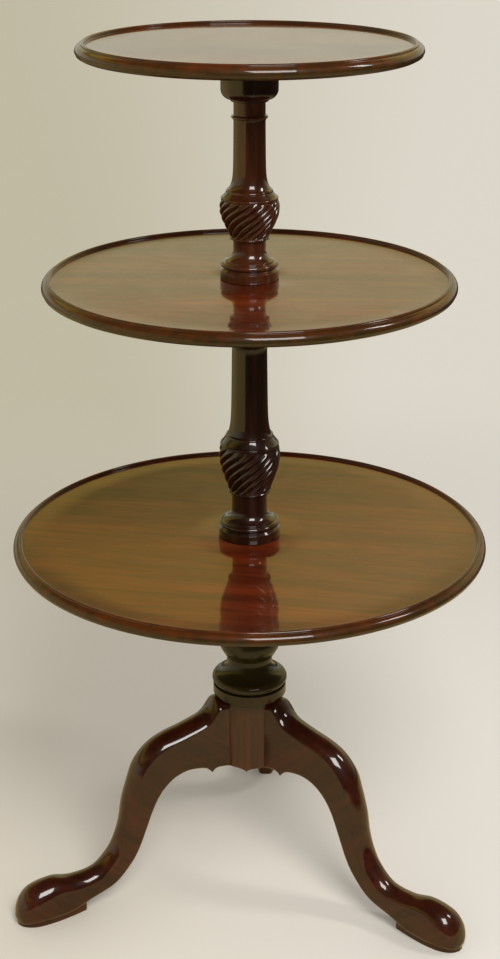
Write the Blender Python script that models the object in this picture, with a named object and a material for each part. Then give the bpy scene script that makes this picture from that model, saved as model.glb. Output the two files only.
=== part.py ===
"""Three-tier mahogany dumbwaiter on a tripod, with spiral-carved column bulbs.

A turned pillar stands on three cabriole legs, each held by a sliding dovetail.
Two turned columns stand on it, one above the other.  Each ends below in a long
spigot, which passes through a tray and its bearing block and enters the socket
of the section underneath.  The three dished trays turn freely on the columns.

Units are metres and +Z is up.  The floor is at z = 0.  The rear leg points to
+Y and the two front legs stand at 30 degrees to the X axis.
"""

import math

import bmesh
import bpy
from mathutils import Matrix, Vector

# Clearances
JOINT_GAP = 0.0003
RUNNING_GAP = 0.0004
BORE_GAP = 0.0005
OVERRUN = 0.004
MERGE_DISTANCE = 0.000002

# Facets
LOBES = 16
POINTS_PER_LOBE = 4
FLUTE_ROWS = 5
COLUMN_SEGMENTS = LOBES * POINTS_PER_LOBE // 2
BLOCK_SEGMENTS = 18
PILLAR_SEGMENTS = 30
TRAY_SEGMENTS = 40
STATION_STEPS = 2
RIDGE_STEPS = 5
BEAD_STEPS = 2
ARC_STEPS = 3
LONG_ARC_STEPS = 3
SMOOTH_ANGLE = math.radians(38)

# Trays
LOWER_TRAY_RADIUS = 0.3048
MIDDLE_TRAY_RADIUS = 0.2548
TOP_TRAY_RADIUS = 0.2047
DISH_DEPTH = 0.0045
BOARD_THICKNESS = 0.0128
RIM_WIDTH = 0.0118
RIM_BEAD_WIDTH = 0.0044
RIM_BEAD_HEIGHT = 0.0014
RIM_NOSE_HEIGHT = 0.0112
RIM_EDGE_INSET = 0.0004
RIM_FOOT_HEIGHT = 0.0022
RIM_FOOT_INSET = 0.0062
RIM_BEAD_BULGE_SHARE = 0.60
RIM_NOSE_BULGE_SHARE = 0.42

# Bearing blocks under the trays
BLOCK_HEIGHT = 0.0532
TOP_BLOCK_RADIUS = 0.0344
MIDDLE_BLOCK_RADIUS = 0.0375
LOWER_BLOCK_RADIUS = 0.0430
BLOCK_ROUND_HEIGHT = 0.0115
BLOCK_ROUND_BULGE_SHARE = 0.38
BLOCK_FILLET_HEIGHT = 0.0024
BLOCK_FILLET_OVERHANG = 0.0036
BLOCK_FILLET_STEP = 0.0012
BLOCK_TENON_WALL = 0.0075
BLOCK_TENON_SETBACK = 0.0012
TOP_TENON_HEIGHT = 0.0055

# Spigots and sockets
TOP_PIN_RADIUS = 0.0115
TOP_PIN_HEIGHT = 0.0420
UPPER_SPIGOT_RADIUS = 0.0125
LOWER_SPIGOT_RADIUS = 0.0155
SOCKET_DEPTH = 0.0320
SOCKET_RELIEF = 0.0020
SPIGOT_CHAMFER = 0.0015

# Upper column
UPPER_COLUMN_HEIGHT = 0.2147
UPPER_DRUM_RADIUS = 0.0359
UPPER_NECK_RADIUS = 0.0201
UPPER_RING_RADIUS = 0.0248
UPPER_RING_BASE = 0.0490
UPPER_BULB_RADIUS = 0.0366
UPPER_BULB_RISE = 0.0350
UPPER_SHOULDER_HEIGHT = 0.0198
UPPER_SHAFT_FOOT_RADIUS = 0.0199
UPPER_SHAFT_RADIUS = 0.0191
UPPER_TWIST_STEPS = 9

# Lower column
LOWER_COLUMN_HEIGHT = 0.2744
LOWER_DRUM_RADIUS = 0.0392
LOWER_NECK_RADIUS = 0.0227
LOWER_RING_RADIUS = 0.0279
LOWER_RING_BASE = 0.0600
LOWER_BULB_RADIUS = 0.0391
LOWER_BULB_RISE = 0.0470
LOWER_SHOULDER_HEIGHT = 0.0253
LOWER_SHAFT_FOOT_RADIUS = 0.0236
LOWER_SHAFT_RADIUS = 0.0219
LOWER_TWIST_STEPS = 10

# Mouldings that both columns share
DRUM_HEIGHT = 0.0123
DRUM_EDGE = 0.0008
DRUM_SEAT_MARGIN = 0.0010
DRUM_SEAT_DEPTH = 0.0003
TORUS_BASE = 0.0152
TORUS_TOP = 0.0216
SCOTIA_BASE = 0.0236
NECK_BASE = 0.0385
QUIRK_RADIUS_SHARE = 0.900
TORUS_RADIUS_SHARE = 0.990
SCOTIA_EDGE_SHARE = 0.620
SCOTIA_BULGE_SHARE = 0.380
RING_HEIGHT = 0.0036
RING_EDGE = 0.0012
ASTRAGAL_HEIGHT = 0.0040
ASTRAGAL_PROJECTION = 0.0020
ASTRAGAL_STEP = 0.0010
ASTRAGAL_DROP = 0.0160
BULB_SWELL_POWER = 1.12
BULB_TOP_SHARE = 0.770
SHOULDER_BEAD_TOP_SHARE = 0.700
SHOULDER_BEAD_HEIGHT = 0.0035
SHOULDER_BEAD_BULGE_SHARE = 0.50
FLUTE_TOP_SHARE = 0.550
FLUTE_BEAD_HEIGHT = 0.0030
FLUTE_BEAD_BULGE_SHARE = 0.80
FLUTE_DEPTH = 0.0026
FLUTE_FADE_SHARE = 0.12
SHAFT_FLARE_SHARE = 0.090
SHAFT_STATION_SHARES = (0.07, 0.18, 0.45)

# Pillar
PILLAR_TOP_RADIUS = 0.0262
PILLAR_SHAFT_RADIUS = 0.0240
PILLAR_SHAFT_FOOT_RADIUS = 0.0262
PILLAR_SHAFT_HEIGHT = 0.0635
PILLAR_BULB_RADIUS = 0.0400
PILLAR_BULB_RISE = 0.0175
PILLAR_BULB_SHOULDER = 0.0220
PILLAR_CUP_RADIUS = 0.0322
PILLAR_CUP_EDGE = 0.0012
PILLAR_FILLET_RADIUS = 0.0303
PILLAR_FILLET_HEIGHT = 0.0077
PILLAR_FILLET_EDGE = 0.0006
PILLAR_NECK_RADIUS = 0.0280
PILLAR_NECK_HEIGHT = 0.0014
CUSHION_RADIUS = 0.0495
CUSHION_ROUND_HEIGHT = 0.0089
CUSHION_SHOULDER_RADIUS = 0.0450
CUSHION_HOLLOW_HEIGHT = 0.0176
CUSHION_ROUND_BULGE_SHARE = 0.42
CUSHION_HOLLOW_BULGE_SHARE = 0.26
CUSHION_BEAD_RADIUS = 0.0478
CUSHION_BEAD_HEIGHT = 0.0026
BAND_RADIUS = 0.0486
BAND_HEIGHT = 0.0131
BAND_GROOVE_RADIUS = 0.0452
BAND_GROOVE_HEIGHT = 0.0031
PILLAR_BODY_RADIUS = 0.0430
SCALLOP_TOP_SHARE = 0.6430
SCALLOP_DROP = 0.0054
SCALLOP_HALF_ANGLE = math.radians(25)
PILLAR_FOOT_HOLLOW = 0.0060
BULB_STATION_SHARES = (0.0, 0.3, 0.65, 1.0)
CAP_STATION_SHARES = (0.45, 0.8)

# Legs
LEG_COUNT = 3
FIRST_LEG_ANGLE = math.radians(90)
LEG_REACH = 0.3400
LEG_HEIGHT = 0.2765
LEG_THICKNESS = 0.0400
LEG_SHOULDER_RISE = 0.0010
DOVETAIL_MARGIN = 0.0160
DOVETAIL_DEPTH = 0.0140
DOVETAIL_NECK = 0.0130
DOVETAIL_SPREAD = 0.0190
SOLE_THICKNESS = 0.0070
SOLE_HEEL_REACH = 0.2420
SOLE_TOE_INSET = 0.0030
SOLE_HEEL_WIDTH = 0.0170
SOLE_WIDTH = 0.0400
SOLE_STATIONS = 7
SOLE_WIDEST_SHARE = 0.70
SOLE_TOE_ROUND_SHARE = 0.97

# Leg shape: reach and height of the ridge, reach and height of the belly, and half
# width, as shares of the leg's reach, height and half thickness.  The first run ends
# at the cusp where two scallops meet, and the second run goes on to the toe.
ROOT_RUN_SHARES = (
    (0.144, 1.000, 0.112, 0.640, 1.00),
    (0.154, 0.995, 0.135, 0.644, 1.00),
    (0.163, 0.982, 0.162, 0.644, 1.00),
    (0.174, 0.962, 0.178, 0.635, 1.00),
    (0.181, 0.949, 0.185, 0.623, 1.00),
)
MAIN_RUN_SHARES = (
    (0.181, 0.949, 0.185, 0.623, 1.00),
    (0.212, 0.919, 0.212, 0.652, 1.00),
    (0.291, 0.886, 0.259, 0.662, 1.00),
    (0.376, 0.855, 0.303, 0.657, 1.00),
    (0.441, 0.811, 0.347, 0.633, 1.00),
    (0.494, 0.736, 0.388, 0.588, 1.00),
    (0.525, 0.638, 0.418, 0.535, 1.00),
    (0.549, 0.539, 0.440, 0.474, 0.98),
    (0.565, 0.430, 0.463, 0.397, 0.95),
    (0.588, 0.343, 0.493, 0.300, 0.93),
    (0.621, 0.273, 0.528, 0.220, 0.90),
    (0.682, 0.207, 0.597, 0.126, 0.88),
    (0.768, 0.193, 0.700, 0.070, 0.92),
    (0.841, 0.208, 0.779, 0.029, 1.05),
    (0.900, 0.198, 0.853, 0.021, 1.18),
    (0.944, 0.177, 0.915, 0.021, 1.18),
    (0.974, 0.139, 0.960, 0.019, 1.02),
    (0.992, 0.092, 0.984, 0.019, 0.68),
    (1.000, 0.047, 0.994, 0.023, 0.26),
)
# Corner radius of the belly as a share of the half width, at the root and at the toe.
BELLY_ROUND_ROOT_SHARE = 0.12
BELLY_ROUND_TOE_SHARE = 0.60
CROWN_DEPTH_SHARE = 0.60
# How boxy the crown of the ridge is at the root.  It is round, at 1, from the blend on.
CROWN_POWER_SHARE = 0.72
CROWN_BLEND_SHARE = 0.62
BELLY_DEPTH_SHARE = 0.33

# Derived places
COLUMN_Y = -(LEG_REACH - LOWER_TRAY_RADIUS) / 2
LEG_SEAT = math.sqrt(PILLAR_BODY_RADIUS ** 2 - (LEG_THICKNESS / 2) ** 2)
SCALLOP_TOP = LEG_HEIGHT * SCALLOP_TOP_SHARE
BAND_BOTTOM = LEG_HEIGHT - LEG_SHOULDER_RISE
DOVETAIL_TOP = BAND_BOTTOM - DOVETAIL_MARGIN
BAND_TOP = BAND_BOTTOM + BAND_HEIGHT
CUSHION_BEAD_BASE = BAND_TOP + BAND_GROOVE_HEIGHT
CUSHION_BASE = CUSHION_BEAD_BASE + CUSHION_BEAD_HEIGHT
CUSHION_SHOULDER = CUSHION_BASE + CUSHION_ROUND_HEIGHT
PILLAR_NECK_BASE = CUSHION_SHOULDER + CUSHION_HOLLOW_HEIGHT
PILLAR_NECK_TOP = PILLAR_NECK_BASE + PILLAR_NECK_HEIGHT
PILLAR_FILLET_BASE = PILLAR_NECK_TOP + PILLAR_FILLET_EDGE
PILLAR_CUP = PILLAR_FILLET_BASE + PILLAR_FILLET_HEIGHT
PILLAR_BULB_TOP = PILLAR_CUP + PILLAR_BULB_RISE + PILLAR_BULB_SHOULDER
PILLAR_TOP = PILLAR_BULB_TOP + SHOULDER_BEAD_HEIGHT + PILLAR_SHAFT_HEIGHT
LOWER_TRAY_FLOOR = PILLAR_TOP + BLOCK_HEIGHT + BOARD_THICKNESS
LOWER_COLUMN_FOOT = LOWER_TRAY_FLOOR - DRUM_SEAT_DEPTH + RUNNING_GAP
LOWER_COLUMN_TOP = LOWER_COLUMN_FOOT + LOWER_COLUMN_HEIGHT
MIDDLE_TRAY_FLOOR = LOWER_COLUMN_TOP + BLOCK_HEIGHT + BOARD_THICKNESS
UPPER_COLUMN_FOOT = MIDDLE_TRAY_FLOOR - DRUM_SEAT_DEPTH + RUNNING_GAP
UPPER_COLUMN_TOP = UPPER_COLUMN_FOOT + UPPER_COLUMN_HEIGHT
TOP_TRAY_FLOOR = UPPER_COLUMN_TOP + BLOCK_HEIGHT + BOARD_THICKNESS
UPPER_SPIGOT_LENGTH = UPPER_COLUMN_FOOT - LOWER_COLUMN_TOP + SOCKET_DEPTH
LOWER_SPIGOT_LENGTH = LOWER_COLUMN_FOOT - PILLAR_TOP + SOCKET_DEPTH

# Wood colours as linear red, green and blue
TRAY_WOOD = (0.150, 0.048, 0.014)
COLUMN_WOOD = (0.070, 0.020, 0.009)
PILLAR_WOOD = (0.062, 0.019, 0.009)
LEG_WOOD = (0.075, 0.021, 0.008)
BLOCK_WOOD = (0.055, 0.018, 0.009)
POLISH_ROUGHNESS = 0.16


def clear_scene():
    """Remove what an earlier run left behind."""
    for item in list(bpy.data.objects):
        bpy.data.objects.remove(item, do_unlink=True)


def wood_material(name, colour):
    """French-polished mahogany in one colour."""
    material = bpy.data.materials.new(name)
    material.use_nodes = True
    shader = material.node_tree.nodes["Principled BSDF"]
    shader.inputs["Base Color"].default_value = (*colour, 1.0)
    shader.inputs["Roughness"].default_value = POLISH_ROUGHNESS
    shader.inputs["Metallic"].default_value = 0.0
    return material


def axis_point(name, parent=None):
    """An empty on the pillar's axis that other pieces hang from."""
    empty = bpy.data.objects.new(name, None)
    bpy.context.scene.collection.objects.link(empty)
    empty.parent = parent
    return empty


def add_piece(name, mesh, colour, parent, angle=0.0):
    """Place one piece of the dumbwaiter, turned about the axis of its parent."""
    piece = bpy.data.objects.new(name, mesh)
    bpy.context.scene.collection.objects.link(piece)
    if not mesh.materials:
        mesh.materials.append(wood_material(name + "_wood", colour))
    piece.parent = parent
    piece.rotation_euler = (0.0, 0.0, angle)
    return piece


def finish_mesh(name, build):
    """Weld, turn all faces outward and shade smooth with sharp moulding edges."""
    bmesh.ops.remove_doubles(build, verts=build.verts, dist=MERGE_DISTANCE)
    bmesh.ops.dissolve_degenerate(build, edges=build.edges, dist=MERGE_DISTANCE)
    bmesh.ops.recalc_face_normals(build, faces=build.faces)
    mesh = bpy.data.meshes.new(name)
    build.to_mesh(mesh)
    build.free()
    mesh.shade_smooth()
    mesh.set_sharp_from_angle(angle=SMOOTH_ANGLE)
    return mesh


def arc(start, end, bulge, steps=ARC_STEPS):
    """Points after start up to end on a circular arc.

    bulge is the rise of the arc as a share of half its chord, positive to the
    right of the way from start to end, and 1 gives a half circle.
    """
    chord = Vector(end) - Vector(start)
    half_angle = 2 * math.atan(bulge)
    radius = chord.length / (2 * math.sin(half_angle))
    side = Vector((chord.y, -chord.x)).normalized()
    centre = (Vector(start) + Vector(end)) / 2 - side * radius * math.cos(half_angle)
    arm = Vector(start) - centre
    points = []
    for step in range(1, steps + 1):
        turn = Matrix.Rotation(2 * half_angle * step / steps, 2)
        points.append(tuple(centre + turn @ arm))
    return points


def spin_outline(build, outline, segments, closed=False, phase=0.0):
    """Turn an outline of (radius, height) points round the Z axis from a start angle."""
    verts = []
    for radius, height in outline:
        place = (radius * math.cos(phase), radius * math.sin(phase), height)
        verts.append(build.verts.new(place))
    edges = [build.edges.new(pair) for pair in zip(verts, verts[1:])]
    if closed:
        edges.append(build.edges.new((verts[-1], verts[0])))
    bmesh.ops.spin(
        build,
        geom=verts + edges,
        cent=(0.0, 0.0, 0.0),
        axis=(0.0, 0.0, 1.0),
        angle=math.tau,
        steps=segments,
    )


def turned_mesh(name, outline, segments, closed=False):
    """A solid turned from one outline, which ends on the axis or is closed."""
    build = bmesh.new()
    spin_outline(build, outline, segments, closed)
    return finish_mesh(name, build)


def skin(build, rings):
    """Join rings of vertices with faces.  A ring may hold twice its neighbour's points."""
    for first, second in zip(rings, rings[1:]):
        if len(first) == len(second):
            for index, corner in enumerate(first):
                after = (index + 1) % len(first)
                build.faces.new((corner, first[after], second[after], second[index]))
            continue
        coarse, fine = sorted((first, second), key=len)
        for index, corner in enumerate(coarse):
            after = coarse[(index + 1) % len(coarse)]
            left = fine[2 * index]
            middle = fine[2 * index + 1]
            right = fine[(2 * index + 2) % len(fine)]
            build.faces.new((corner, middle, left))
            build.faces.new((corner, after, middle))
            build.faces.new((after, right, middle))


def ring_of_verts(build, radii, heights, phase=0.0):
    """Vertices round the axis at equal angles, one for each radius and height."""
    verts = []
    for index, (radius, height) in enumerate(zip(radii, heights)):
        angle = phase + math.tau * index / len(radii)
        verts.append(build.verts.new((radius * math.cos(angle), radius * math.sin(angle), height)))
    return verts


def tray_rim(radius, floor):
    """Outline of the moulded rim, from the dish over the bead and nose to the underside."""
    crest = floor + DISH_DEPTH
    underside = floor - BOARD_THICKNESS
    inner = radius - RIM_WIDTH
    bead_start = (inner, crest - RIM_BEAD_HEIGHT)
    bead_end = (inner + RIM_BEAD_WIDTH, crest - RIM_BEAD_HEIGHT)
    nose_end = (radius - RIM_EDGE_INSET, crest - RIM_NOSE_HEIGHT)
    points = [(inner, floor), bead_start]
    points += arc(bead_start, bead_end, -RIM_BEAD_BULGE_SHARE, BEAD_STEPS)
    points += arc(bead_end, nose_end, -RIM_NOSE_BULGE_SHARE)
    points.append((radius - RIM_FOOT_HEIGHT, underside + RIM_FOOT_HEIGHT))
    points.append((radius - RIM_FOOT_INSET, underside))
    return points


def pierced_tray(name, radius, floor, tenon_radius, drum_radius):
    """A dished board with a hole for its block's tenon and a shallow sunk seat for the drum."""
    hole = tenon_radius + JOINT_GAP
    seat_radius = drum_radius + DRUM_SEAT_MARGIN
    seat = floor - DRUM_SEAT_DEPTH
    outline = [(hole, floor - BOARD_THICKNESS), (hole, seat)]
    outline += [(seat_radius, seat), (seat_radius, floor)]
    outline += tray_rim(radius, floor)
    return turned_mesh(name, outline, TRAY_SEGMENTS, closed=True)


def top_tray_mesh(name, radius, floor, tenon_radius):
    """A dished board with a whole surface and a shallow recess underneath."""
    recess = tenon_radius + JOINT_GAP
    underside = floor - BOARD_THICKNESS
    recess_top = underside + TOP_TENON_HEIGHT + JOINT_GAP
    outline = [(0.0, floor)]
    outline += tray_rim(radius, floor)
    outline += [(recess, underside), (recess, recess_top), (0.0, recess_top)]
    return turned_mesh(name, outline, TRAY_SEGMENTS)


def block_outside(radius, neck_radius, underside):
    """Outline of a bearing block below its tray, from the tray down to its foot."""
    foot = underside - BLOCK_HEIGHT + JOINT_GAP
    foot_radius = neck_radius + BLOCK_FILLET_OVERHANG
    round_start = (radius, foot + BLOCK_FILLET_HEIGHT + BLOCK_ROUND_HEIGHT)
    round_end = (foot_radius + BLOCK_FILLET_STEP, foot + BLOCK_FILLET_HEIGHT)
    points = [(radius, underside - JOINT_GAP), round_start]
    points += arc(round_start, round_end, -BLOCK_ROUND_BULGE_SHARE, LONG_ARC_STEPS)
    points += [(foot_radius, foot + BLOCK_FILLET_HEIGHT), (foot_radius, foot)]
    return points


def pierced_block(name, radius, neck_radius, floor, spigot_radius):
    """A bearing block with a tenon above and a bore for the column's spigot."""
    underside = floor - BOARD_THICKNESS
    bore = spigot_radius + BORE_GAP
    tenon = spigot_radius + BLOCK_TENON_WALL
    tenon_top = floor - BLOCK_TENON_SETBACK
    outline = [(bore, tenon_top), (tenon, tenon_top), (tenon, underside - JOINT_GAP)]
    outline += block_outside(radius, neck_radius, underside)
    outline.append((bore, underside - BLOCK_HEIGHT + JOINT_GAP))
    return turned_mesh(name, outline, BLOCK_SEGMENTS, closed=True)


def top_block_mesh(name, radius, neck_radius, floor, pin_radius):
    """The top tray's block, with a blind bore that turns on the column's pin."""
    underside = floor - BOARD_THICKNESS
    bore = pin_radius + BORE_GAP
    tenon = pin_radius + BLOCK_TENON_WALL
    foot = underside - BLOCK_HEIGHT + JOINT_GAP
    bore_end = underside - BLOCK_HEIGHT + TOP_PIN_HEIGHT + SOCKET_RELIEF
    tenon_top = underside + TOP_TENON_HEIGHT
    outline = [(0.0, tenon_top), (tenon, tenon_top), (tenon, underside - JOINT_GAP)]
    outline += block_outside(radius, neck_radius, underside)
    outline += [(bore, foot), (bore, bore_end), (0.0, bore_end)]
    return turned_mesh(name, outline, BLOCK_SEGMENTS)


def spigot_outline(radius, foot, length):
    """Outline of a spigot from its lower end up to the shoulder above it."""
    tip = foot - length
    return [
        (0.0, tip),
        (radius - SPIGOT_CHAMFER, tip),
        (radius, tip + SPIGOT_CHAMFER),
        (radius, foot),
    ]


def column_base(drum_radius, neck_radius, foot):
    """Outline of drum, quirk, torus and scotia up to the neck."""
    quirk = drum_radius * QUIRK_RADIUS_SHARE
    scotia = neck_radius + (drum_radius - neck_radius) * SCOTIA_EDGE_SHARE
    torus_base = (quirk, foot + TORUS_BASE)
    torus_top = (quirk, foot + TORUS_TOP)
    projection = drum_radius * (TORUS_RADIUS_SHARE - QUIRK_RADIUS_SHARE)
    scotia_start = (scotia, foot + SCOTIA_BASE)
    scotia_end = (neck_radius, foot + NECK_BASE)
    points = [(drum_radius, foot), (drum_radius, foot + DRUM_HEIGHT - DRUM_EDGE)]
    points += [(drum_radius - DRUM_EDGE, foot + DRUM_HEIGHT), torus_base]
    points += arc(torus_base, torus_top, 2 * projection / (TORUS_TOP - TORUS_BASE))
    points += [(scotia, foot + TORUS_TOP), scotia_start]
    points += arc(scotia_start, scotia_end, -SCOTIA_BULGE_SHARE)
    return points


def neck_ring(neck_radius, ring_radius, ring_base):
    """Outline of the neck's top and the thin ring under a bulb."""
    return [
        (neck_radius, ring_base),
        (ring_radius, ring_base + RING_EDGE),
        (ring_radius, ring_base + RING_HEIGHT - RING_EDGE),
    ]


def bulb_radius_at(height, foot_radius, widest_radius, rise, shoulder):
    """Radius of the plain bulb at a height above its foot."""
    if height <= rise:
        swell = math.sin(math.pi / 2 * (height / rise) ** BULB_SWELL_POWER)
        return foot_radius + (widest_radius - foot_radius) * swell
    full = shoulder / math.sqrt(1 - BULB_TOP_SHARE ** 2)
    return widest_radius * math.sqrt(1 - ((height - rise) / full) ** 2)


def flute_radii(radius, depth):
    """Radii round one row of the carved bulb: convex ridges between narrow grooves."""
    radii = []
    for index in range(LOBES * POINTS_PER_LOBE):
        place = index % POINTS_PER_LOBE / POINTS_PER_LOBE
        radii.append(radius - depth * (1 - math.sin(math.pi * place)))
    return radii


def shaft_outline(foot_radius, shaft_radius, shoulder_radius, foot, top):
    """Outline of the tapered shaft where it flares into the shoulder of the bulb."""
    height = top - foot
    flare_length = height * SHAFT_FLARE_SHARE
    points = []
    for share in SHAFT_STATION_SHARES:
        rise = height * share
        taper = foot_radius + (shaft_radius - foot_radius) * share
        flare = (shoulder_radius - foot_radius) * math.exp(-rise / flare_length)
        points.append((taper + flare, foot + rise))
    return points


def astragal(shaft_radius, top):
    """Outline of the thin ring round the top of a shaft."""
    ring_top = top - ASTRAGAL_DROP
    ring_base = ring_top - ASTRAGAL_HEIGHT
    start = (shaft_radius + ASTRAGAL_STEP, ring_base)
    end = (shaft_radius + ASTRAGAL_STEP, ring_top)
    points = [(shaft_radius, ring_base), start]
    points += arc(start, end, 2 * ASTRAGAL_PROJECTION / ASTRAGAL_HEIGHT, BEAD_STEPS)
    points.append((shaft_radius, ring_top))
    return points


def shoulder_bead(bulb_radius, base):
    """Outline of the bead that closes the top of a bulb, after its lower edge."""
    start = (bulb_radius * BULB_TOP_SHARE, base)
    end = (bulb_radius * SHOULDER_BEAD_TOP_SHARE, base + SHOULDER_BEAD_HEIGHT)
    return [start] + arc(start, end, SHOULDER_BEAD_BULGE_SHARE, BEAD_STEPS)


def column_mesh(name, sizes, foot, top, top_end):
    """A turned column with a spiral-carved bulb.

    sizes holds the column's own radii and heights, and top_end the outline from
    the shaft's top shoulder to the axis.
    """
    ring_base = foot + sizes["ring_base"]
    bulb_foot = ring_base + RING_HEIGHT
    widest = bulb_foot + sizes["bulb_rise"]
    bulb_top = widest + sizes["shoulder_height"]
    flute_top = widest + sizes["shoulder_height"] * FLUTE_TOP_SHARE

    def plain_radius(height):
        return bulb_radius_at(
            height - bulb_foot,
            sizes["ring_radius"] - RING_EDGE,
            sizes["bulb_radius"],
            sizes["bulb_rise"],
            sizes["shoulder_height"],
        )

    def carved_ring(share):
        height = bulb_foot + (flute_top - bulb_foot) * share
        fade = min(1.0, share / FLUTE_FADE_SHARE, (1 - share) / FLUTE_FADE_SHARE)
        radii = flute_radii(plain_radius(height), FLUTE_DEPTH * fade)
        turn = sizes["twist_steps"] * math.tau / COLUMN_SEGMENTS * share
        return ring_of_verts(build, radii, [height] * len(radii), turn)

    def plain_ring(height):
        radii = [plain_radius(height)] * COLUMN_SEGMENTS
        return ring_of_verts(build, radii, [height] * COLUMN_SEGMENTS)

    below = spigot_outline(sizes["spigot_radius"], foot, sizes["spigot_length"])
    below += column_base(sizes["drum_radius"], sizes["neck_radius"], foot)
    below += neck_ring(sizes["neck_radius"], sizes["ring_radius"], ring_base)
    below.append((plain_radius(bulb_foot), bulb_foot))

    bead_top = flute_top + FLUTE_BEAD_HEIGHT
    bead_start = (plain_radius(flute_top), flute_top)
    bead_end = (plain_radius(bead_top), bead_top)
    shaft_foot = bulb_top + SHOULDER_BEAD_HEIGHT
    above = [bead_start]
    above += arc(bead_start, bead_end, FLUTE_BEAD_BULGE_SHARE, BEAD_STEPS)
    above += shoulder_bead(sizes["bulb_radius"], bulb_top)
    above += shaft_outline(
        sizes["shaft_foot_radius"],
        sizes["shaft_radius"],
        sizes["bulb_radius"] * SHOULDER_BEAD_TOP_SHARE,
        shaft_foot,
        top - ASTRAGAL_DROP - ASTRAGAL_HEIGHT,
    )
    above += astragal(sizes["shaft_radius"], top)
    above += top_end

    build = bmesh.new()
    spin_outline(build, below, COLUMN_SEGMENTS)
    spin_outline(build, above, COLUMN_SEGMENTS)
    rings = [plain_ring(bulb_foot)]
    for row in range(1, FLUTE_ROWS + 1):
        rings.append(carved_ring(row / (FLUTE_ROWS + 1)))
    last_ring = plain_ring(flute_top)
    steps = sizes["twist_steps"]
    rings.append(last_ring[steps:] + last_ring[:steps])
    skin(build, rings)
    return finish_mesh(name, build)


def socket_end(shaft_radius, spigot_radius, top):
    """Outline of a flat top with the socket for the next section's spigot."""
    socket = spigot_radius + JOINT_GAP
    bottom = top - SOCKET_DEPTH - SOCKET_RELIEF
    return [(shaft_radius, top), (socket, top), (socket, bottom), (0.0, bottom)]


def pin_end(shaft_radius, pin_radius, top):
    """Outline of a flat top with the pin that the top tray turns on."""
    tip = top + TOP_PIN_HEIGHT
    return [
        (shaft_radius, top),
        (pin_radius, top),
        (pin_radius, tip - SPIGOT_CHAMFER),
        (pin_radius - SPIGOT_CHAMFER, tip),
        (0.0, tip),
    ]


def upper_column_mesh():
    """The column between the middle and the top tray."""
    sizes = {
        "drum_radius": UPPER_DRUM_RADIUS,
        "neck_radius": UPPER_NECK_RADIUS,
        "ring_radius": UPPER_RING_RADIUS,
        "ring_base": UPPER_RING_BASE,
        "bulb_radius": UPPER_BULB_RADIUS,
        "bulb_rise": UPPER_BULB_RISE,
        "shoulder_height": UPPER_SHOULDER_HEIGHT,
        "shaft_foot_radius": UPPER_SHAFT_FOOT_RADIUS,
        "shaft_radius": UPPER_SHAFT_RADIUS,
        "spigot_radius": UPPER_SPIGOT_RADIUS,
        "spigot_length": UPPER_SPIGOT_LENGTH,
        "twist_steps": UPPER_TWIST_STEPS,
    }
    top_end = pin_end(UPPER_SHAFT_RADIUS, TOP_PIN_RADIUS, UPPER_COLUMN_TOP)
    return column_mesh("upper_column", sizes, UPPER_COLUMN_FOOT, UPPER_COLUMN_TOP, top_end)


def lower_column_mesh():
    """The column between the lower and the middle tray."""
    sizes = {
        "drum_radius": LOWER_DRUM_RADIUS,
        "neck_radius": LOWER_NECK_RADIUS,
        "ring_radius": LOWER_RING_RADIUS,
        "ring_base": LOWER_RING_BASE,
        "bulb_radius": LOWER_BULB_RADIUS,
        "bulb_rise": LOWER_BULB_RISE,
        "shoulder_height": LOWER_SHOULDER_HEIGHT,
        "shaft_foot_radius": LOWER_SHAFT_FOOT_RADIUS,
        "shaft_radius": LOWER_SHAFT_RADIUS,
        "spigot_radius": LOWER_SPIGOT_RADIUS,
        "spigot_length": LOWER_SPIGOT_LENGTH,
        "twist_steps": LOWER_TWIST_STEPS,
    }
    top_end = socket_end(LOWER_SHAFT_RADIUS, UPPER_SPIGOT_RADIUS, LOWER_COLUMN_TOP)
    return column_mesh("lower_column", sizes, LOWER_COLUMN_FOOT, LOWER_COLUMN_TOP, top_end)


def pillar_band():
    """Outline of the pillar's band, groove and bead, from the legs' shoulders up."""
    bead_start = (CUSHION_BEAD_RADIUS, CUSHION_BEAD_BASE)
    bead_end = (CUSHION_BEAD_RADIUS, CUSHION_BASE)
    return [
        (PILLAR_BODY_RADIUS, BAND_BOTTOM),
        (BAND_RADIUS, BAND_BOTTOM),
        (BAND_RADIUS, BAND_TOP),
        (BAND_GROOVE_RADIUS, BAND_TOP),
        (BAND_GROOVE_RADIUS, CUSHION_BEAD_BASE),
        bead_start,
        bead_end,
    ]


def pillar_cushion():
    """Outline of the cushion moulding and the hollow neck above it."""
    start = (CUSHION_RADIUS, CUSHION_BASE)
    shoulder = (CUSHION_SHOULDER_RADIUS, CUSHION_SHOULDER)
    end = (PILLAR_NECK_RADIUS, PILLAR_NECK_BASE)
    points = [start]
    points += arc(start, shoulder, CUSHION_ROUND_BULGE_SHARE)
    points += arc(shoulder, end, -CUSHION_HOLLOW_BULGE_SHARE)
    points.append((PILLAR_NECK_RADIUS, PILLAR_NECK_TOP))
    return points


def pillar_bulb():
    """Outline of the plain bulb under the lower tray, from its cup to its top bead."""
    rise = PILLAR_BULB_RISE
    points = [(PILLAR_FILLET_RADIUS, PILLAR_FILLET_BASE)]
    points.append((PILLAR_FILLET_RADIUS, PILLAR_CUP - PILLAR_CUP_EDGE))
    heights = [rise * share for share in BULB_STATION_SHARES]
    heights += [rise + PILLAR_BULB_SHOULDER * share for share in CAP_STATION_SHARES]
    for height in heights:
        radius = bulb_radius_at(
            height, PILLAR_CUP_RADIUS, PILLAR_BULB_RADIUS, rise, PILLAR_BULB_SHOULDER
        )
        points.append((radius, PILLAR_CUP + height))
    points += shoulder_bead(PILLAR_BULB_RADIUS, PILLAR_BULB_TOP)
    return points


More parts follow.
